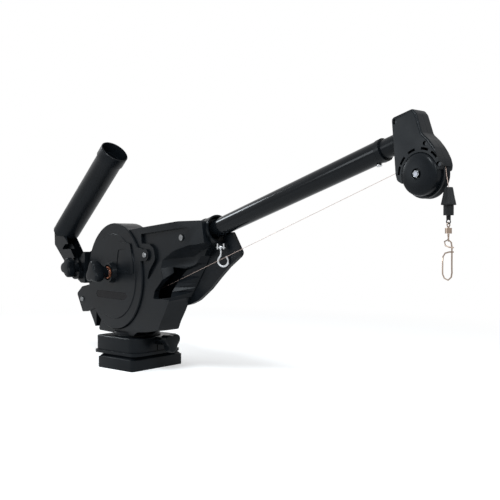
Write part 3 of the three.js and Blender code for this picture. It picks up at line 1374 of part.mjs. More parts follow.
function headWheel() {
  const grooveNear = wheelPlane - wheelGrooveHalf;
  const grooveFar = wheelPlane + wheelGrooveHalf;
  return onHead(turnedY([
    [axleRadius + gap, domeTop + nutRecess], [nutRoom, domeTop + nutRecess], [nutRoom, domeTop],
    ...domeShares.map(([radius, drop]) => [radius * domeRadius, domeTop + drop * (domeShoulder - domeTop)]),
    [domeRadius, wheelNear], [wheelRadius, wheelNear],
    [wheelRadius, grooveNear], [wheelRoot, wheelPlane - 3 * wireRadius], [wheelRoot, wheelPlane + 3 * wireRadius],
    [wheelRadius, grooveFar], [wheelRadius, wheelFar], [axleRadius + gap, wheelFar],
    [axleRadius + gap, domeTop + nutRecess],
  ], 0, 0, wideSides));
}

const wheelAxle = () => onHead(join(
  barY(0, 0, axleRadius, domeTop + nutRecess - nutHeight - gap, headHalf + gap + axleHeadHeight / 2, smallSides),
  barY(0, 0, axleHead, headHalf + gap, headHalf + gap + axleHeadHeight, roundSides),
));

const wheelNut = () => onHead(cut(
  hexY(0, 0, nutRadius, domeTop + nutRecess - nutHeight, domeTop + nutRecess),
  barY(0, 0, axleRadius + gap, domeTop - nutHeight, domeTop + overrun, smallSides),
));

// Wire from the reel to the head, and over the wheel to the terminator
const wheelCentre = alongBoom(wheelS, -wheelDrop);
const wireArc = wheelRoot + gap + wireRadius;

function wireTangent() {
  const spool = new THREE.Vector2(spoolX, spoolZ);
  const wheel = new THREE.Vector2(wheelCentre.x, wheelCentre.z);
  const line = wheel.clone().sub(spool);
  const reel = windingRadius + gap + wireRadius;
  const slope = line.angle() + Math.asin((reel + wireArc) / line.length());
  const off = new THREE.Vector2(Math.sin(slope), -Math.cos(slope));
  return {
    slope,
    start: spool.clone().addScaledVector(off, reel),
    end: wheel.clone().addScaledVector(off, -wireArc),
  };
}

const run = wireTangent();

function wirePoint(x) {
  const share = (x - run.start.x) / (run.end.x - run.start.x);
  return new THREE.Vector3(
    x,
    spoolWireY + (wheelPlane - spoolWireY) * share,
    run.start.y + (run.end.y - run.start.y) * share,
  );
}

const wireBreak = alongBoom(wireBreakS).x;
const wireRun = () => wire([wirePoint(run.start.x), wirePoint(wireBreak)], wireRadius);
const tackleX = wheelCentre.x + wireArc + tackleLean;
const tackleTop = wheelCentre.z - terminatorTop;

function wireDrop() {
  const points = [wirePoint(wireBreak + gap), wirePoint((wireBreak + run.end.x) / 2)];
  const first = run.slope + Math.PI / 2;
  for (let i = 0; i <= 8; i += 1) {
    const angle = first * (1 - i / 8);
    points.push(new THREE.Vector3(
      wheelCentre.x + wireArc * Math.cos(angle), wheelPlane, wheelCentre.z + wireArc * Math.sin(angle),
    ));
  }
  points.push(new THREE.Vector3(tackleX, wheelPlane, tackleTop + gap));
  return wire(points, wireRadius);
}

const atTackle = (body) => body.translate([tackleX, wheelPlane, 0]);
const coneFoot = tackleTop - terminatorLength;
const sleeveFoot = coneFoot - gap - sleeveLength;
const stemFoot = sleeveFoot - stemLength;
const upperRingZ = stemFoot - ringRadius + ringWire;
const eyeDrop = 2 * ringRadius - 2 * ringWire - gap;
const eyeZ = upperRingZ - eyeDrop;
const barrelTop = eyeZ - ringRadius - barrelStemLength / 2;
const lowerEyeZ = eyeZ - lowerEyeDrop;

const terminator = () => atTackle(loft([
  lobedRing('Z', tackleTop, terminatorTopRadius, 0.12, 6, 0, roundSides),
  lobedRing('Z', coneFoot, terminatorFootRadius, 0.12, 6, 0, roundSides),
].reverse()));

const terminatorSleeve = () => atTackle(join(
  barZ(0, 0, sleeveRadius, sleeveFoot, coneFoot - gap, roundSides),
  barZ(0, 0, stemRadius, stemFoot, sleeveFoot + overrun, tinySides),
  wireRing(new THREE.Vector3(0, 0, upperRingZ), ringRadius, ringWire, 0),
));

const swivelBarrel = () => atTackle(join(
  wireRing(new THREE.Vector3(0, 0, eyeZ), ringRadius, ringWire, Math.PI / 2),
  barZ(0, 0, barrelStem, barrelTop - overrun / 2, eyeZ - ringRadius, tinySides),
  barZ(0, 0, barrelRadius, barrelTop - barrelLength, barrelTop, smallSides),
));

function snapLink() {
  const top = lowerEyeZ - ringRadius + ringWire + snapWire + gap;
  const swivelEnd = join(
    barZ(0, 0, barrelStem, lowerEyeZ + ringRadius, barrelTop - barrelLength - gap, tinySides),
    wireRing(new THREE.Vector3(0, 0, lowerEyeZ), ringRadius, ringWire, snapTurn + Math.PI / 2),
  );
  const across = new THREE.Vector3(Math.cos(snapTurn), Math.sin(snapTurn), 0);
  const square = new THREE.Vector3(-Math.sin(snapTurn), Math.cos(snapTurn), 0);
  const loop = wire(snapShares.map(([u, z, out]) => (
    new THREE.Vector3(0, 0, top + z * snapLength).addScaledVector(across, u * snapLength)
      .addScaledVector(square, out * snapOffset)
  )), snapWire, wireSides, false, 1);
  return atTackle(join(swivelEnd, loop));
}

// Assembly
piece('mount_plate', mountPlate(), blackPlastic);
baseScrewSpots.forEach((spot, i) => piece(`base_screw_${i + 1}`, baseScrew(spot), steel));
piece('swivel_block', swivelBlock(), blackPlastic);
piece('lock_stud', lockStudBar(), steel);
piece('lock_knob', lockKnob(), blackPlastic);
piece('swivel_post', swivelPost(), blackPlastic);
piece('frame', frameBody(), blackPlastic);
piece('side_cover', sideCover(), blackPlastic);
lugSpots.forEach((spot, i) => piece(`cover_screw_${i + 1}`, coverScrew(spot, lugFaces[i]), steel));
piece('badge_plate', badgePlate(), glossBlack);
piece('shaft_bearing', shaftBearing(), steel);
piece('spool', spoolBody(), blackPlastic);
piece('wound_wire', woundWire(), wireMetal);
piece('spool_shaft', spoolShaft(), steel);
piece('clutch_disc', clutchDisc(), bronze);
piece('clutch_knob', clutchKnob(), blackPlastic);
piece('far_plate', farPlate(), blackPlastic);
platePinSpots().forEach((spot, i) => piece(`far_plate_screw_${i + 1}`, farPlateScrew(spot), steel));
piece('drive_pulley', drivePulleyWheel(), blackPlastic);
piece('motor_pulley', motorPulleyWheel(), steel);
piece('drive_belt', driveBelt(), belt);
piece('motor_plate', motorPlate(), steel);
piece('motor', motorBody(), steel);
piece('motor_cover', motorCover(), blackPlastic);
piece('counter_bezel', counterBezel(), glossBlack);
piece('counter_window', counterWindow(), glossBlack);
piece('rocker_switch', rockerSwitch(), blackPlastic);
piece('power_gland', powerGland(), rubber);
piece('boom_tube', boomTube(), glossBlack);
piece('boom_seal', boomSeal(), rubber);
piece('socket_screw', socketScrew(), steel);
piece('boom_plug', boomPlug(), blackPlastic);
piece('boom_end_screw', boomEndScrew(), steel);
piece('hook_eye', hookEyeBlock(), steel);
piece('ball_hook', ballHook(), steel);
piece('rod_bracket', rodBracket(), blackPlastic);
bracketScrewSpots().forEach((spot, i) => piece(`bracket_screw_${i + 1}`, bracketScrew(spot), steel));
piece('rod_holder', rodHolder(), blackPlastic);
piece('rod_pin', rodPinBar(), steel);
piece('rod_knob', rodKnob(), blackPlastic);
piece('head_near', headNear(), blackPlastic);
piece('head_far', headFar(), blackPlastic);
headSpots.forEach((spot, i) => piece(`head_screw_${i + 1}`, headScrew(spot), steel));
piece('head_wheel', headWheel(), blackPlastic);
piece('wheel_axle', wheelAxle(), steel);
piece('wheel_nut', wheelNut(), steel);
piece('wire_run', wireRun(), wireMetal);
piece('wire_drop', wireDrop(), wireMetal);
piece('terminator', terminator(), rubber);
piece('terminator_sleeve', terminatorSleeve(), rubber);
piece('swivel_barrel', swivelBarrel(), bronze);
piece('snap_link', snapLink(), steel);

export default downrigger;
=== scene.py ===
import json
from math import radians, sin, cos, pi, hypot

import bmesh
import bpy
import numpy as np
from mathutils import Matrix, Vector


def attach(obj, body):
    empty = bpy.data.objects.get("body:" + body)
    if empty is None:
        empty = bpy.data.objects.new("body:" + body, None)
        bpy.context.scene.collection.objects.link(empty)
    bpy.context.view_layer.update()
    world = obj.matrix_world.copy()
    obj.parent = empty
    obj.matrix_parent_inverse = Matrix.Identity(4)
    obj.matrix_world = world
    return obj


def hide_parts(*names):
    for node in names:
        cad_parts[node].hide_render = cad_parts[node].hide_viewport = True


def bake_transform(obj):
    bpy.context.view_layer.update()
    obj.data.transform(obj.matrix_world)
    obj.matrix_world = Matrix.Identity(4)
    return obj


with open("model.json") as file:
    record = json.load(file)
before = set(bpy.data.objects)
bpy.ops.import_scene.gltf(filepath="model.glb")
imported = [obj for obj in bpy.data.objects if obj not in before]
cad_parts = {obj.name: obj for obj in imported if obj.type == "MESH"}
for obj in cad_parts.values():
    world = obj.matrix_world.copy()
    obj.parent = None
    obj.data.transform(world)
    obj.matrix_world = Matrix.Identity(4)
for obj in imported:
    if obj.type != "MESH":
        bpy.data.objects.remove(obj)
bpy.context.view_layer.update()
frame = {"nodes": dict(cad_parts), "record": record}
nodeBody = {node: body for body, nodes in frame["record"]["behaviour"]["bodies"].items() for node in nodes}
nodeSlot = {part["node"]: part["material_slot"] for part in frame["record"]["subparts"]}
print("frame loaded:", len(frame["nodes"]), "nodes")

# Camera, at the height and distance that fit the picture
view = {"place": (1.43330, -0.88482, 0.28574), "tilt": 89.004, "turn": 49.965, "lens": 53.90, "sensor": 36.0,
        "clipStart": 0.01, "clipEnd": 60}
cameraData = bpy.data.cameras.new("camera")
cameraData.lens = view["lens"]
cameraData.sensor_width = view["sensor"]
cameraData.clip_start = view["clipStart"]
cameraData.clip_end = view["clipEnd"]
camera = bpy.data.objects.new("camera", cameraData)
camera.location = view["place"]
camera.rotation_euler = (radians(view["tilt"]), 0, radians(view["turn"]))
bpy.context.collection.objects.link(camera)
bpy.context.scene.camera = camera
bpy.context.scene.view_settings.view_transform = "Standard"
print("camera placed")


# Materials: one node recipe, driven by one dictionary for each finish
recipe = {"patchDetail": 3.0, "grainDetail": 2.0, "rampStart": 0.35, "rampEnd": 0.65, "specular": 0.5}


def newMaterial(name):
    material = bpy.data.materials.new(name)
    material.use_nodes = True
    tree = material.node_tree
    shader = tree.nodes["Principled BSDF"]
    return material, tree, shader


def noiseNode(tree, scale, detail):
    coords = tree.nodes.new("ShaderNodeTexCoord")
    noise = tree.nodes.new("ShaderNodeTexNoise")
    noise.inputs["Scale"].default_value = scale
    noise.inputs["Detail"].default_value = detail
    tree.links.new(coords.outputs["Object"], noise.inputs["Vector"])
    return noise


def rampNode(tree, source, low, high):
    ramp = tree.nodes.new("ShaderNodeValToRGB")
    ramp.color_ramp.elements[0].position = recipe["rampStart"]
    ramp.color_ramp.elements[1].position = recipe["rampEnd"]
    ramp.color_ramp.elements[0].color = low
    ramp.color_ramp.elements[1].color = high
    tree.links.new(source, ramp.inputs["Fac"])
    return ramp


# Grainy surface: one noise for the tint and the roughness, and a finer one for the grain
def surfaceMaterial(name, values):
    material, tree, shader = newMaterial(name)
    tint = values["color"]
    spread = values["spread"]
    low = (*[c * (1 - spread) for c in tint], 1)
    high = (*[c * (1 + spread) for c in tint], 1)
    patch = noiseNode(tree, values["patchScale"], recipe["patchDetail"])
    color = rampNode(tree, patch.outputs["Fac"], low, high)
    tree.links.new(color.outputs["Color"], shader.inputs["Base Color"])
    rough = values["rough"]
    span = values["roughSpan"]
    worn = rampNode(tree, patch.outputs["Fac"], (rough - span,) * 3 + (1,), (rough + span,) * 3 + (1,))
    tree.links.new(worn.outputs["Color"], shader.inputs["Roughness"])
    shader.inputs["Metallic"].default_value = values["metal"]
    shader.inputs["Specular IOR Level"].default_value = values.get("specular", recipe["specular"])
    grain = noiseNode(tree, values["grainScale"], recipe["grainDetail"])
    bump = tree.nodes.new("ShaderNodeBump")
    bump.inputs["Strength"].default_value = values["grain"]
    bump.inputs["Distance"].default_value = values["grainDepth"]
    tree.links.new(grain.outputs["Fac"], bump.inputs["Height"])
    tree.links.new(bump.outputs["Normal"], shader.inputs["Normal"])
    return material


finishes = {
    "black_plastic": {
        "color": (0.0040, 0.0052, 0.0066), "spread": 0.12, "patchScale": 22,
        "rough": 0.33, "roughSpan": 0.04, "metal": 0.0, "specular": 0.085,
        "grainScale": 240, "grain": 0.08, "grainDepth": 0.00008,
    },
    "gloss_black": {
        "color": (0.004, 0.004, 0.005), "spread": 0.1, "patchScale": 20,
        "rough": 0.2, "roughSpan": 0.03, "metal": 0.0, "specular": 0.06,
        "grainScale": 300, "grain": 0.05, "grainDepth": 0.0001,
    },
    "boom_black": {
        "color": (0.0040, 0.0050, 0.0062), "spread": 0.08, "patchScale": 14,
        "rough": 0.15, "roughSpan": 0.02, "metal": 0.0, "specular": 0.09,
        "grainScale": 90, "grain": 0.02, "grainDepth": 0.0001,
    },
    "display": {
        "color": (0.02, 0.026, 0.022), "spread": 0.05, "patchScale": 20,
        "rough": 0.12, "roughSpan": 0.02, "metal": 0.0,
        "grainScale": 400, "grain": 0.02, "grainDepth": 0.0001,
    },
    "steel": {
        "color": (0.46, 0.47, 0.48), "spread": 0.05, "patchScale": 60,
        "rough": 0.24, "roughSpan": 0.06, "metal": 1.0,
        "grainScale": 1200, "grain": 0.1, "grainDepth": 0.0001,
    },
    "dark_steel": {
        "color": (0.10, 0.10, 0.11), "spread": 0.08, "patchScale": 60,
        "rough": 0.3, "roughSpan": 0.06, "metal": 1.0,
        "grainScale": 1200, "grain": 0.1, "grainDepth": 0.0001,
    },
    "motor_grey": {
        "color": (0.2, 0.21, 0.22), "spread": 0.08, "patchScale": 30,
        "rough": 0.4, "roughSpan": 0.05, "metal": 0.6,
        "grainScale": 900, "grain": 0.1, "grainDepth": 0.0001,
    },
    "bronze": {
        "color": (0.42, 0.15, 0.08), "spread": 0.14, "patchScale": 80,
        "rough": 0.32, "roughSpan": 0.08, "metal": 0.8,
        "grainScale": 1500, "grain": 0.15, "grainDepth": 0.0001,
    },
    "rubber": {
        "color": (0.007, 0.0075, 0.008), "spread": 0.12, "patchScale": 40,
        "rough": 0.55, "roughSpan": 0.06, "metal": 0.0, "specular": 0.15,
        "grainScale": 300, "grain": 0.1, "grainDepth": 0.0001,
    },
    "screw_steel": {
        "color": (0.17, 0.175, 0.18), "spread": 0.1, "patchScale": 200,
        "rough": 0.3, "roughSpan": 0.05, "metal": 1.0,
        "grainScale": 300, "grain": 0.05, "grainDepth": 0.0001,
    },
    # Near-black screw steel: the screw colour is darkened to paint in the shade of the recesses the screws sit
    # in
    "black_screw": {
        "color": (0.02, 0.021, 0.022), "spread": 0.1, "patchScale": 200,
        "rough": 0.35, "roughSpan": 0.05, "metal": 1.0,
        "grainScale": 300, "grain": 0.05, "grainDepth": 0.0001,
    },
    "tackle": {
        "color": (0.30, 0.235, 0.19), "spread": 0.06, "patchScale": 60,
        "rough": 0.25, "roughSpan": 0.05, "metal": 1.0,
        "grainScale": 300, "grain": 0.05, "grainDepth": 0.0001,
    },
    "wire": {
        "color": (0.4, 0.31, 0.27), "spread": 0.12, "patchScale": 300,
        "rough": 0.4, "roughSpan": 0.06, "metal": 0.7,
        "grainScale": 2500, "grain": 0.3, "grainDepth": 0.00008,
    },
}
materials = {slot: surfaceMaterial(slot + "Finish", values) for slot, values in finishes.items()}
print("materials made:", len(materials))


# Puts a finished mesh in the scene, gives it its finish and its body, and hides the solids it stands for
def addPiece(name, mesh, slot, body, nodes=(), finish=None):
    piece = bpy.data.objects.new(name, mesh)
    mesh.materials.clear()
    mesh.materials.append(materials[finish or slot])
    bpy.context.collection.objects.link(piece)
    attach(piece, body)
    if nodes:
        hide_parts(*nodes)
    return piece


def camelName(node):
    first, *rest = node.split("_")
    return first + "".join(word.capitalize() for word in rest)


# Copies of the solids: the weld and the flat angle that join their triangles, and what counts as a sharp edge
copies = {"weld": 2e-6, "flat": radians(0.6), "sharp": radians(33), "steps": 2}


# Bevel weights: full on the sharp edges that a test picks, and none on the others.
# Inner corners can be left out, where a rounding would fill the room of a piece that moves in it
def weighEdges(mesh, wide):
    work = bmesh.new()
    work.from_mesh(mesh)
    layer = work.edges.layers.float.new("bevel_weight_edge")
    for edge in work.edges:
        if len(edge.link_faces) != 2 or edge.calc_face_angle(0.0) < copies["sharp"]:
            continue
        if wide.get("outerOnly") and not edge.is_convex:
            continue
        if wide["test"]((edge.verts[0].co + edge.verts[1].co) / 2):
            edge[layer] = 1.0
    work.to_mesh(mesh)
    work.free()


# A solid's own mesh, with its loose triangles merged, its flat faces joined and its edges rounded
def dressNode(node, width, wide=None):
    mesh = frame["nodes"][node].data.copy()
    mesh.name = camelName(node)
    work = bmesh.new()
    work.from_mesh(mesh)
    bmesh.ops.remove_doubles(work, verts=work.verts, dist=copies["weld"])
    bmesh.ops.dissolve_limit(work, angle_limit=copies["flat"], verts=work.verts, edges=work.edges)
    work.to_mesh(mesh)
    work.free()
    if mesh.attributes.get("custom_normal"):
        mesh.attributes.remove(mesh.attributes["custom_normal"])
    mesh.shade_smooth()
    mesh.set_sharp_from_angle(angle=copies["sharp"])
    if node in trims:
        trimMesh(mesh, *trims[node])
    piece = addPiece(camelName(node), mesh, nodeSlot[node], nodeBody[node], (node,), ownFinish.get(node))
    if width:
        bevel = piece.modifiers.new("roundedEdges", "BEVEL")
        bevel.width = width
        bevel.segments = copies["steps"]
        bevel.limit_method = "ANGLE"
        bevel.angle_limit = copies["sharp"]
        if wide:
            bevel.width = wide["width"]
            bevel.segments = wide["steps"]
            bevel.limit_method = "WEIGHT"
            weighEdges(mesh, wide)
        bevel.use_clamp_overlap = not wide or "outerOnly" in wide
        bevel.harden_normals = True
        bevel.miter_outer = "MITER_ARC"
    return piece


# Quads over a grid of points, rows by columns, with the columns closed into a ring. The two ends are capped,
# unless the last row lies on the first
def gridMesh(name, points):
    rows, columns = points.shape[:2]
    index = np.arange(rows * columns).reshape(rows, columns)
    lower, upper = index[:-1], index[1:]
    faces = np.stack([lower, np.roll(lower, -1, axis=1), np.roll(upper, -1, axis=1), upper], axis=-1)
    allFaces = faces.reshape(-1, 4).tolist()
    if not np.allclose(points[0], points[-1]):
        allFaces += [index[0][::-1].tolist(), index[-1].tolist()]
    mesh = bpy.data.meshes.new(name)
    mesh.from_pydata(points.reshape(-1, 3).tolist(), [], allFaces)
    mesh.update()
    return mesh


# Welds a made mesh, turns its faces outwards and marks its sharp edges
made = {"weld": 1e-7, "sharp": radians(40)}


def pointOutwards(mesh):
    work = bmesh.new()
    work.from_mesh(mesh)
    bmesh.ops.remove_doubles(work, verts=work.verts, dist=made["weld"])
    bmesh.ops.recalc_face_normals(work, faces=work.faces)
    work.to_mesh(mesh)
    work.free()
    mesh.shade_smooth()
    mesh.set_sharp_from_angle(angle=made["sharp"])
    return mesh


# Surface of revolution: each profile pair (radius, along) is swept round the axis by the angle columns:
# point = start + axis * along + (side * cos(angle) + other * sin(angle)) * radius
def turnedMesh(name, profile, start, axis, sides=72):
    profile = np.asarray(profile, float)
    axis = np.asarray(axis, float) / np.linalg.norm(axis)
    helper = np.array([0, 0, 1.0]) if abs(axis[2]) < 0.9 else np.array([1.0, 0, 0])
    side = np.cross(axis, helper)
    side /= np.linalg.norm(side)
    other = np.cross(axis, side)
    angle = np.linspace(0, 2 * pi, sides, endpoint=False)
    ring = side[None, :] * np.cos(angle)[:, None] + other[None, :] * np.sin(angle)[:, None]
    middles = np.asarray(start, float) + axis * profile[:, 1, None, None]
    points = middles + ring[None] * profile[:, 0, None, None]
    return pointOutwards(gridMesh(name, points))


# Round bar along a flat path: at each path point the section circle lies across the path's tangent,
# point = path + (flat * cos(angle) + cross(tangent, flat) * sin(angle)) * radius, with flat being the normal
# of the path's plane
def barMesh(name, path, radius, flat, sides):
    path = np.asarray(path, float)
    tangent = np.gradient(path, axis=0)
    tangent /= np.linalg.norm(tangent, axis=1)[:, None]
    flat = np.asarray(flat, float) / np.linalg.norm(flat)
    inner = np.cross(tangent, flat)
    inner /= np.linalg.norm(inner, axis=1)[:, None]
    outer = np.cross(inner, tangent)
    angle = np.linspace(0, 2 * pi, sides, endpoint=False)
    section = outer[:, None] * np.cos(angle)[None, :, None] + inner[:, None] * np.sin(angle)[None, :, None]
    return pointOutwards(gridMesh(name, path[:, None] + section * radius))


# Smooth curve through points: a cubic between neighbours, with its tangent at each point parallel to the line
# from the point before to the point after
def smoothPath(points, steps):
    points = np.asarray(points, float)
    padded = np.vstack([2 * points[0] - points[1], points, 2 * points[-1] - points[-2]])
    t = np.linspace(0, 1, steps, endpoint=False)[None, :, None]
    before, start, end, last = (a[:, None] for a in (padded[:-3], padded[1:-2], padded[2:-1], padded[3:]))
    curve = 0.5 * (2 * start + (end - before) * t + (2 * before - 5 * start + 4 * end - last) * t ** 2
                   + (3 * start - before - 3 * end + last) * t ** 3)
    return np.vstack([curve.reshape(-1, 3), points[-1]])


# Smallest and largest corner of a solid, its middle, and the place of each joint
def boxOf(node):
    mesh = frame["nodes"][node].data
    corners = np.empty(len(mesh.vertices) * 3)
    mesh.vertices.foreach_get("co", corners)
    corners = corners.reshape(-1, 3)
    return corners.min(axis=0), corners.max(axis=0)


def middleOf(node):
    low, high = boxOf(node)
    return (low + high) / 2


jointPlace = {joint["name"]: np.array(joint["pos_m"]) for joint in frame["record"]["behaviour"]["joints"]}


# Directions across the machine and up
across = (0, 1, 0)
upward = (0, 0, 1)


# Lobed knob: rings given as (along, radius, lobe depth), made dense by a smooth curve; at each ring
# reach = radius * (1 - depth * (1 - cos(lobes * (angle - phase))) / 2),
# point = start + axis * along + (side * cos(angle) + other * sin(angle)) * reach
lobed = {"columns": 96, "steps": 4}


def lobedMesh(name, rings, start, axis, facing, lobes, phase):
    rings = smoothPath(rings, lobed["steps"])
    axis = np.asarray(axis, float) / np.linalg.norm(axis)
    side = np.asarray(facing, float)
    other = np.cross(axis, side)
    angle = np.linspace(0, 2 * pi, lobed["columns"], endpoint=False)
    wave = (1 - np.cos(lobes * (angle - phase))) / 2
    reach = rings[:, 1, None] * (1 - rings[:, 2, None] * wave[None])
    ring = side[None] * np.cos(angle)[:, None] + other[None] * np.sin(angle)[:, None]
    points = np.asarray(start, float) + axis * rings[:, 0, None, None] + ring[None] * reach[..., None]
    return pointOutwards(gridMesh(name, points))


# Clutch knob: a broad three-lobed head that narrows to a round neck
clutch = {"radius": 0.027, "lobes": 3, "phase": 0.0,
          "rings": [(0.0, 0.62, 0.3), (0.015, 0.82, 0.36), (0.06, 0.93, 0.38), (0.14, 0.99, 0.39),
                    (0.3, 1.0, 0.38), (0.44, 0.97, 0.36), (0.54, 0.88, 0.31), (0.64, 0.72, 0.22),
                    (0.78, 0.56, 0.1), (1.0, 0.45, 0.0)]}


# Rings given as shares of a knob's length and radius, in metres
def scaledRings(values, length):
    return [(along * length, radius * values["radius"], depth) for along, radius, depth in values["rings"]]


def addClutchKnob():
    low, high = boxOf("clutch_knob")
    place = jointPlace["clutch_turn"]
    start = (place[0], low[1], place[2])
    rings = scaledRings(clutch, high[1] - low[1])
    mesh = lobedMesh("clutchKnob", rings, start, across, upward, clutch["lobes"], clutch["phase"])
    addPiece("clutchKnob", mesh, "black_plastic", "clutch_knob", ("clutch_knob",))


# Rod holder's knob: three lobes on a round hub that reaches into the cheek's cup
rodGrip = {"length": 0.019, "radius": 0.025, "lobes": 3, "phase": 0.47,
           "hubStart": 0.016, "hubRadius": 0.0115, "hubShort": 0.0175, "tipRadius": 0.006, "tipShort": 0.0165,
           "rings": [(0.0, 0.66, 0.3), (0.03, 0.84, 0.36), (0.12, 0.96, 0.38), (0.3, 1.0, 0.38),
                     (0.65, 1.0, 0.38), (0.86, 0.95, 0.36), (0.97, 0.84, 0.33), (1.0, 0.7, 0.28)]}


def addRodKnob():
    low, high = boxOf("rod_knob")
    place = jointPlace["rod_knob_turn"]
    start = (place[0], low[1], place[2])
    rings = scaledRings(rodGrip, rodGrip["length"])
    head = lobedMesh("rodKnobHead", rings, start, across, upward, rodGrip["lobes"], rodGrip["phase"])
    addPiece("rodKnobHead", head, "black_plastic", "rod_knob")
    shoulder = high[1] - low[1] - rodGrip["hubShort"]
    tip = high[1] - low[1] - rodGrip["tipShort"]
    radius = rodGrip["hubRadius"]
    hub = [(0, 0), (radius, 0), (radius, shoulder), (rodGrip["tipRadius"], tip), (0, tip)]
    mesh = turnedMesh("rodKnobHub", hub, (place[0], low[1] + rodGrip["hubStart"], place[2]), across)
    addPiece("rodKnobHub", mesh, "black_plastic", "rod_knob", ("rod_knob",))


# Lock knob on the block's side: three lobes, on a short hub, along the block's own X
lock = {"length": 0.022, "radius": 0.023, "start": 0.095, "turn": radians(10), "lobes": 3, "phase": 1.05,
        "hubStart": 0.0863, "hubRadius": 0.0065, "hubLength": 0.012,
        "rings": [(0.0, 0.72, 0.3), (0.04, 0.88, 0.36), (0.14, 0.98, 0.38), (0.3, 1.0, 0.38),
                  (0.7, 1.0, 0.38), (0.86, 0.97, 0.37), (0.96, 0.88, 0.34), (1.0, 0.74, 0.3)]}


def addLockKnob():
    axis = np.array([cos(lock["turn"]), sin(lock["turn"]), 0])
    place = jointPlace["lock_turn"]
    rings = scaledRings(lock, lock["length"])
    start = place + axis * lock["start"]
    head = lobedMesh("lockKnobHead", rings, start, axis, upward, lock["lobes"], lock["phase"])
    addPiece("lockKnobHead", head, "black_plastic", "lock_knob")
    hub = [(0, 0), (lock["hubRadius"], 0), (lock["hubRadius"], lock["hubLength"]), (0, lock["hubLength"])]
    mesh = turnedMesh("lockKnobHub", hub, place + axis * lock["hubStart"], axis)
    addPiece("lockKnobHub", mesh, "black_plastic", "lock_knob", ("lock_knob",))


addClutchKnob()
addRodKnob()
addLockKnob()
print("knobs made")

# Boom tube: a plain round tube
boom = {"angle": radians(15.59), "root": 0.2233, "radius": 0.0175, "bore": 0.0145,
        "start": 0.182, "end": 0.7155, "edge": 0.0006, "sides": 96}


def addBoomTube():
    axis = np.array([cos(boom["angle"]), 0, sin(boom["angle"])])
    root = np.array([0, 0, boom["root"]])
    length = boom["end"] - boom["start"]
    edge = boom["edge"]
    profile = [(boom["bore"], 0), (boom["radius"] - edge, 0), (boom["radius"], edge),
               (boom["radius"], length - edge), (boom["radius"] - edge, length), (boom["bore"], length)]
    profile.append(profile[0])
    mesh = turnedMesh("boomTube", profile, root + axis * boom["start"], axis, boom["sides"])
    addPiece("boomTube", mesh, "boom_black", "reel_frame", ("boom_tube",))


# Wheel's domed hub and grooved rim, turned about the axle; radius and depth from the head's middle plane.
# The dome's two lists give shares of its radius, with depths below its top and below its shoulder
wheel = {"dome": 0.031, "top": -0.023, "shoulder": -0.0176, "near": -0.0048, "rim": 0.0344, "root": 0.0319,
         "plane": 0.0024, "groove": 0.005, "rootHalf": 0.0016, "flange": 0.0022, "bore": 0.0043,
         "nutRoom": 0.0076, "nutDepth": 0.0032, "lip": 0.0008, "edge": 0.0006, "steps": 5, "sides": 96,
         "crown": [(0.45, 0.0006), (0.7, 0.0018), (0.88, 0.0036)], "brow": [(0.97, 0.0008), (1.0, 0.0035)]}


def addWheel():
    place = jointPlace["wheel_spin"]
    corners = [(wheel["nutRoom"] + wheel["lip"], wheel["top"], 0)]
    corners += [(share * wheel["dome"], wheel["top"] + depth, 0) for share, depth in wheel["crown"]]
    corners += [(share * wheel["dome"], wheel["shoulder"] + depth, 0) for share, depth in wheel["brow"]]
    dome = smoothPath(corners, wheel["steps"])[:, :2].tolist()
    seat = wheel["top"] + wheel["nutDepth"]
    rim, edge, plane = wheel["rim"], wheel["edge"], wheel["plane"]
    grooveFar = plane + wheel["groove"]
    far = grooveFar + wheel["flange"]
    profile = [(wheel["bore"], seat), (wheel["nutRoom"], seat), (wheel["nutRoom"], wheel["top"] + edge), *dome,
               (wheel["dome"], wheel["near"]), (rim - edge, wheel["near"]), (rim, wheel["near"] + edge),
               (rim, plane - wheel["groove"]), (wheel["root"], plane - wheel["rootHalf"]),
               (wheel["root"], plane + wheel["rootHalf"]), (rim, grooveFar), (rim, far), (wheel["bore"], far)]
    profile.append(profile[0])
    mesh = turnedMesh("headWheel", profile, (place[0], 0, place[2]), across, wheel["sides"])
    addPiece("headWheel", mesh, "black_plastic", "wheel", ("head_wheel",))


# Rod tube: round wall over the holder's own solid, from above the elbow to the mouth. The bore is a little
# wider at the mouth than along the tube. The holder's trimmed copy reaches into the tube by the overlap
rodTube = {"elbow": (-0.2715, -0.052, 0.2855), "tilt": (0.70879, 0.10997, 0.69679), "start": 0.026,
           "length": 0.28, "radius": 0.0303, "mouth": 0.0326, "mouthLength": 0.025, "taper": 0.004,
           "bore": 0.0298, "innerBore": 0.0264, "innerStart": 0.02, "innerFoot": 0.0299, "edge": 0.0012,
           "overlap": 0.002, "sides": 96}


def addRodTube():
    length = rodTube["length"] - rodTube["start"]
    band = length - rodTube["mouthLength"]
    edge, mouth, bore = rodTube["edge"], rodTube["mouth"], rodTube["bore"]
    profile = [(rodTube["radius"], 0), (rodTube["radius"], band - rodTube["taper"]), (mouth, band),
               (mouth, length - edge), (mouth - edge, length), (bore + edge / 2, length), (bore, length - edge),
               (bore, band), (rodTube["innerBore"], band), (rodTube["innerBore"], rodTube["innerStart"]),
               (rodTube["innerFoot"], 0)]
    profile.append(profile[0])
    axis = np.array(rodTube["tilt"])
    start = np.array(rodTube["elbow"]) + axis * rodTube["start"]
    mesh = turnedMesh("rodTube", profile, start, axis, rodTube["sides"])
    addPiece("rodTube", mesh, "black_plastic", "rod_holder")


# Wire from the reel to the head, one straight stretch
wireRun = {"start": (-0.00917, -0.022, 0.13636), "end": (0.72241, 0.00086, 0.38210), "radius": 0.0004,
           "blendFrom": 0.40, "points": 60, "sides": 10}


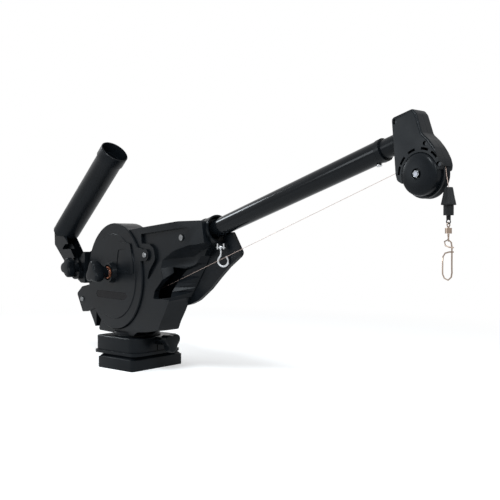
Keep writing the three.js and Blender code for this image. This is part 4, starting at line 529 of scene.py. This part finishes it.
def addWireRun():
    start = np.array(wireRun["start"])
    end = np.array(wireRun["end"])
    share = np.linspace(0, 1, wireRun["points"])[:, None]
    mesh = barMesh("wireRun", start + (end - start) * share, wireRun["radius"], across, wireRun["sides"])
    piece = bpy.data.objects.new("wireRun", mesh)
    mesh.materials.append(materials["wire"])
    bpy.context.collection.objects.link(piece)
    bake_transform(piece)
    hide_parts("wire_run")


# Terminator: a soft cone with shallow flutes. Its rings are shares of its height, of the end's radius and of
# the flutes' depth
cone = {"lobes": 6, "depth": 0.13, "top": 0.0062, "foot": 0.0112,
        "footRings": [(0.0, 0.86, 1.0), (0.02, 0.97, 1.0), (0.06, 1.0, 1.0)],
        "topRings": [(0.94, 1.06, 1.0), (0.985, 0.96, 1.0), (1.0, 0.8, 0.5)]}


def endRings(height, end):
    rings = cone[end + "Rings"]
    return [(height * along, cone[end] * reach, cone["depth"] * depth) for along, reach, depth in rings]


def addTerminator():
    low, high = boxOf("terminator")
    middle = middleOf("terminator")
    height = high[2] - low[2]
    waist = (height / 2, (cone["top"] + cone["foot"]) / 2, cone["depth"])
    rings = [*endRings(height, "foot"), waist, *endRings(height, "top")]
    start = (middle[0], middle[1], low[2])
    mesh = lobedMesh("terminatorCone", rings, start, upward, (1, 0, 0), cone["lobes"], 0.0)
    addPiece("terminatorCone", mesh, "rubber", nodeBody["terminator"], ("terminator",))


# Winding on the spool, turns side by side: radius = mean + ripple * cos(2 * pi * turns * share of the width)
winding = {"radius": 0.0738, "ripple": 0.00055, "core": 0.0603, "turns": 24, "steps": 8, "sides": 96}


def addWinding():
    low, high = boxOf("wound_wire")
    place = jointPlace["reel_spin"]
    along = np.linspace(0, high[1] - low[1], winding["turns"] * winding["steps"] + 1)
    radius = winding["radius"] + winding["ripple"] * np.cos(along / along[-1] * winding["turns"] * 2 * pi)
    profile = np.column_stack([radius, along])
    ends = np.array([(winding["core"], along[-1]), (winding["core"], 0.0)])
    profile = np.vstack([profile, ends, profile[:1]])
    mesh = turnedMesh("woundWire", profile, (place[0], low[1], place[2]), across, winding["sides"])
    addPiece("woundWire", mesh, "wire", "reel", ("wound_wire",))


addBoomTube()
addWheel()
addRodTube()
addWireRun()
addTerminator()
addWinding()
print("turned pieces made")

# Edges of the housings, block and shells, rounded by this much
edges = {
    "mount_plate": 0.0012, "swivel_block": 0.0022, "lock_stud": 0.0003, "swivel_post": 0.0008,
    "frame": 0.0016, "side_cover": 0.0009, "badge_plate": 0.0004, "shaft_bearing": 0.0003, "spool": 0.0006,
    "spool_shaft": 0.0006, "clutch_disc": 0.0004, "far_plate": 0.0014, "drive_pulley": 0.0005,
    "motor_pulley": 0.0003, "drive_belt": 0.0003, "motor_plate": 0.0003, "motor": 0.0015,
    "motor_cover": 0.0025, "counter_bezel": 0.0010, "counter_window": 0.0004, "rocker_switch": 0.0006,
    "power_gland": 0.0006, "boom_seal": 0.0006, "boom_plug": 0.0008, "hook_eye": 0.0004,
    "rod_bracket": 0.0010, "rod_holder": 0.0012, "rod_pin": 0.0004, "head_near": 0.0011, "head_far": 0.0011,
    "wheel_axle": 0.0005, "wheel_nut": 0.0005, "terminator_sleeve": 0.0003, "swivel_barrel": 0.0003,
    "snap_link": 0.0, "ball_hook": 0.0, "wire_drop": 0.0,
}
screws = [node for node in frame["nodes"] if "screw" in node]
screwEdge = 0.0005

# The head's shells: where their outer faces lie, and how far the broad rounding keeps from wheel and holes
shells = {"face": 0.016, "slack": 0.0012, "wheelRoom": 0.043, "holeRoom": 0.0055, "edge": 0.0034, "steps": 4}
headHoles = [middleOf(node)[[0, 2]] for node in ("head_screw_1", "head_screw_2", "head_screw_3")]


# Outer edges of the head's two shells, clear of its slots, holes and wheel room
def headRim(middle):
    place = jointPlace["wheel_spin"]
    away = hypot(middle.x - place[0], middle.z - place[2])
    outer = abs(abs(middle.y) - shells["face"]) < shells["slack"]
    clear = all(hypot(middle.x - x, middle.z - z) > shells["holeRoom"] for x, z in headHoles)
    return outer and away > shells["wheelRoom"] and clear


def anyEdge(middle):
    return True


# Cuts a copy off at a plane, where another piece takes over its form
def trimMesh(mesh, place, outward):
    work = bmesh.new()
    work.from_mesh(mesh)
    parts = work.verts[:] + work.edges[:] + work.faces[:]
    bmesh.ops.bisect_plane(work, geom=parts, plane_co=place, plane_no=outward, clear_outer=True)
    work.to_mesh(mesh)
    work.free()


tubeAxis = Vector(rodTube["tilt"])
tubeFoot = Vector(rodTube["elbow"]) + tubeAxis * (rodTube["start"] + rodTube["overlap"])
trims = {"rod_holder": (tubeFoot, tubeAxis)}

# Pieces whose finish isn't the one of their slot
ownFinish = {
    "snap_link": "tackle", "swivel_barrel": "tackle",
    "cover_screw_1": "screw_steel", "cover_screw_2": "screw_steel", "socket_screw": "screw_steel",
    "wheel_nut": "screw_steel",
    # The pulley head's screws take the near-black finish, which paints the shade of their recesses onto the
    # screw heads
    "head_screw_1": "black_screw", "head_screw_2": "black_screw", "head_screw_3": "black_screw",
}
wideEdges = {}
for node in ("head_near", "head_far"):
    wideEdges[node] = {"width": shells["edge"], "steps": shells["steps"], "test": headRim}
for node in ("swivel_block", "swivel_post", "rod_bracket", "rod_holder"):
    wideEdges[node] = {"width": edges[node], "steps": copies["steps"], "test": anyEdge, "outerOnly": True}
for node, width in edges.items():
    dressNode(node, width, wideEdges.get(node))
for node in screws:
    dressNode(node, screwEdge)
print("solids dressed:", len(edges) + len(screws))


# Strength 1 for the rays that see the white background: camera, glossy and transmission rays
def whiteRays(tree):
    rays = tree.nodes.new("ShaderNodeLightPath")
    total = rays.outputs["Is Camera Ray"]
    for ray in ("Is Glossy Ray", "Is Transmission Ray"):
        either = tree.nodes.new("ShaderNodeMath")
        either.operation = "MAXIMUM"
        tree.links.new(total, either.inputs[0])
        tree.links.new(rays.outputs[ray], either.inputs[1])
        total = either.outputs[0]
    return total


# Studio: a pale floor that turns white away from the part, and a world that is brighter overhead
studio = {"floorSize": 40, "floorColor": 0.8, "floorRough": 0.9, "floorGloss": 0.05, "floorLift": 0.42,
          "horizon": 0.12, "overhead": 0.5, "spread": 0.9, "nearField": 0.55, "farField": 1.5,
          "lampColor": (0.88, 0.95, 1.0), "target": (0.15, 0.0, 0.22)}

# Lamps: the camera sees the key's reflection in the pulley head's near face, and the streak's along the boom.
# The top and side lamps light the part from the camera's own side
lamps = {
    "key": {"place": (-0.53, -1.55, 0.6), "size": 0.6, "power": 8},
    "top": {"place": (1.0, -0.95, 1.5), "size": 0.45, "power": 22},
    "side": {"place": (2.0, -0.2, 1.2), "size": 0.7, "power": 14},
    "streak": {"place": (-0.99, -0.4, 0.91), "size": 0.3, "power": 5},
}


def addFloor():
    mesh = bpy.data.meshes.new("floor")
    half = studio["floorSize"] / 2
    corners = [(-half, -half, 0), (half, -half, 0), (half, half, 0), (-half, half, 0)]
    mesh.from_pydata(corners, [], [(0, 1, 2, 3)])
    floor = bpy.data.objects.new("floor", mesh)
    bpy.context.collection.objects.link(floor)
    material, tree, shader = newMaterial("floorFinish")
    shader.inputs["Base Color"].default_value = (studio["floorColor"],) * 3 + (1,)
    shader.inputs["Roughness"].default_value = studio["floorRough"]
    shader.inputs["Specular IOR Level"].default_value = studio["floorGloss"]
    lift = tree.nodes.new("ShaderNodeEmission")
    rays = whiteRays(tree)
    seen = tree.nodes.new("ShaderNodeMath")
    seen.operation = "MULTIPLY"
    seen.inputs[1].default_value = studio["floorLift"]
    tree.links.new(rays, seen.inputs[0])
    tree.links.new(seen.outputs[0], lift.inputs["Strength"])
    both = tree.nodes.new("ShaderNodeAddShader")
    tree.links.new(shader.outputs[0], both.inputs[0])
    tree.links.new(lift.outputs[0], both.inputs[1])
    white = tree.nodes.new("ShaderNodeEmission")
    coords = tree.nodes.new("ShaderNodeTexCoord")
    away = tree.nodes.new("ShaderNodeVectorMath")
    away.operation = "LENGTH"
    far = tree.nodes.new("ShaderNodeMapRange")
    far.interpolation_type = "SMOOTHSTEP"
    far.inputs["From Min"].default_value = studio["nearField"]
    far.inputs["From Max"].default_value = studio["farField"]
    field = tree.nodes.new("ShaderNodeMath")
    field.operation = "MULTIPLY"
    blend = tree.nodes.new("ShaderNodeMixShader")
    tree.links.new(coords.outputs["Object"], away.inputs[0])
    tree.links.new(away.outputs["Value"], far.inputs["Value"])
    tree.links.new(far.outputs["Result"], field.inputs[0])
    tree.links.new(rays, field.inputs[1])
    tree.links.new(field.outputs[0], blend.inputs["Fac"])
    tree.links.new(both.outputs[0], blend.inputs[1])
    tree.links.new(white.outputs[0], blend.inputs[2])
    tree.links.new(blend.outputs[0], tree.nodes["Material Output"].inputs["Surface"])
    mesh.materials.append(material)


# World: white to the camera, in reflections and through glass; as light on the part, dim at the horizon and
# brighter overhead
def addWorld():
    world = bpy.data.worlds.new("studio")
    world.use_nodes = True
    bpy.context.scene.world = world
    tree = world.node_tree
    backdrop = tree.nodes["Background"]
    backdrop.inputs["Color"].default_value = (1, 1, 1, 1)
    coords = tree.nodes.new("ShaderNodeTexCoord")
    split = tree.nodes.new("ShaderNodeSeparateXYZ")
    fall = tree.nodes.new("ShaderNodeMapRange")
    fall.inputs["From Max"].default_value = studio["spread"]
    fall.inputs["To Min"].default_value = studio["horizon"]
    fall.inputs["To Max"].default_value = studio["overhead"]
    tree.links.new(coords.outputs["Generated"], split.inputs[0])
    tree.links.new(split.outputs["Z"], fall.inputs["Value"])
    level = tree.nodes.new("ShaderNodeMix")
    tree.links.new(whiteRays(tree), level.inputs["Factor"])
    tree.links.new(fall.outputs["Result"], level.inputs["A"])
    level.inputs["B"].default_value = 1.0
    tree.links.new(level.outputs["Result"], backdrop.inputs["Strength"])


def addLamp(name, values):
    data = bpy.data.lights.new(name, "AREA")
    data.shape = "DISK"
    data.size = values["size"]
    data.energy = values["power"]
    data.color = studio["lampColor"]
    lamp = bpy.data.objects.new(name, data)
    lamp.location = values["place"]
    aim = Vector(studio["target"]) - Vector(values["place"])
    lamp.rotation_euler = aim.to_track_quat("-Z", "Y").to_euler()
    bpy.context.collection.objects.link(lamp)


addFloor()
addWorld()
for name, values in lamps.items():
    addLamp(name, values)
print("studio lit")
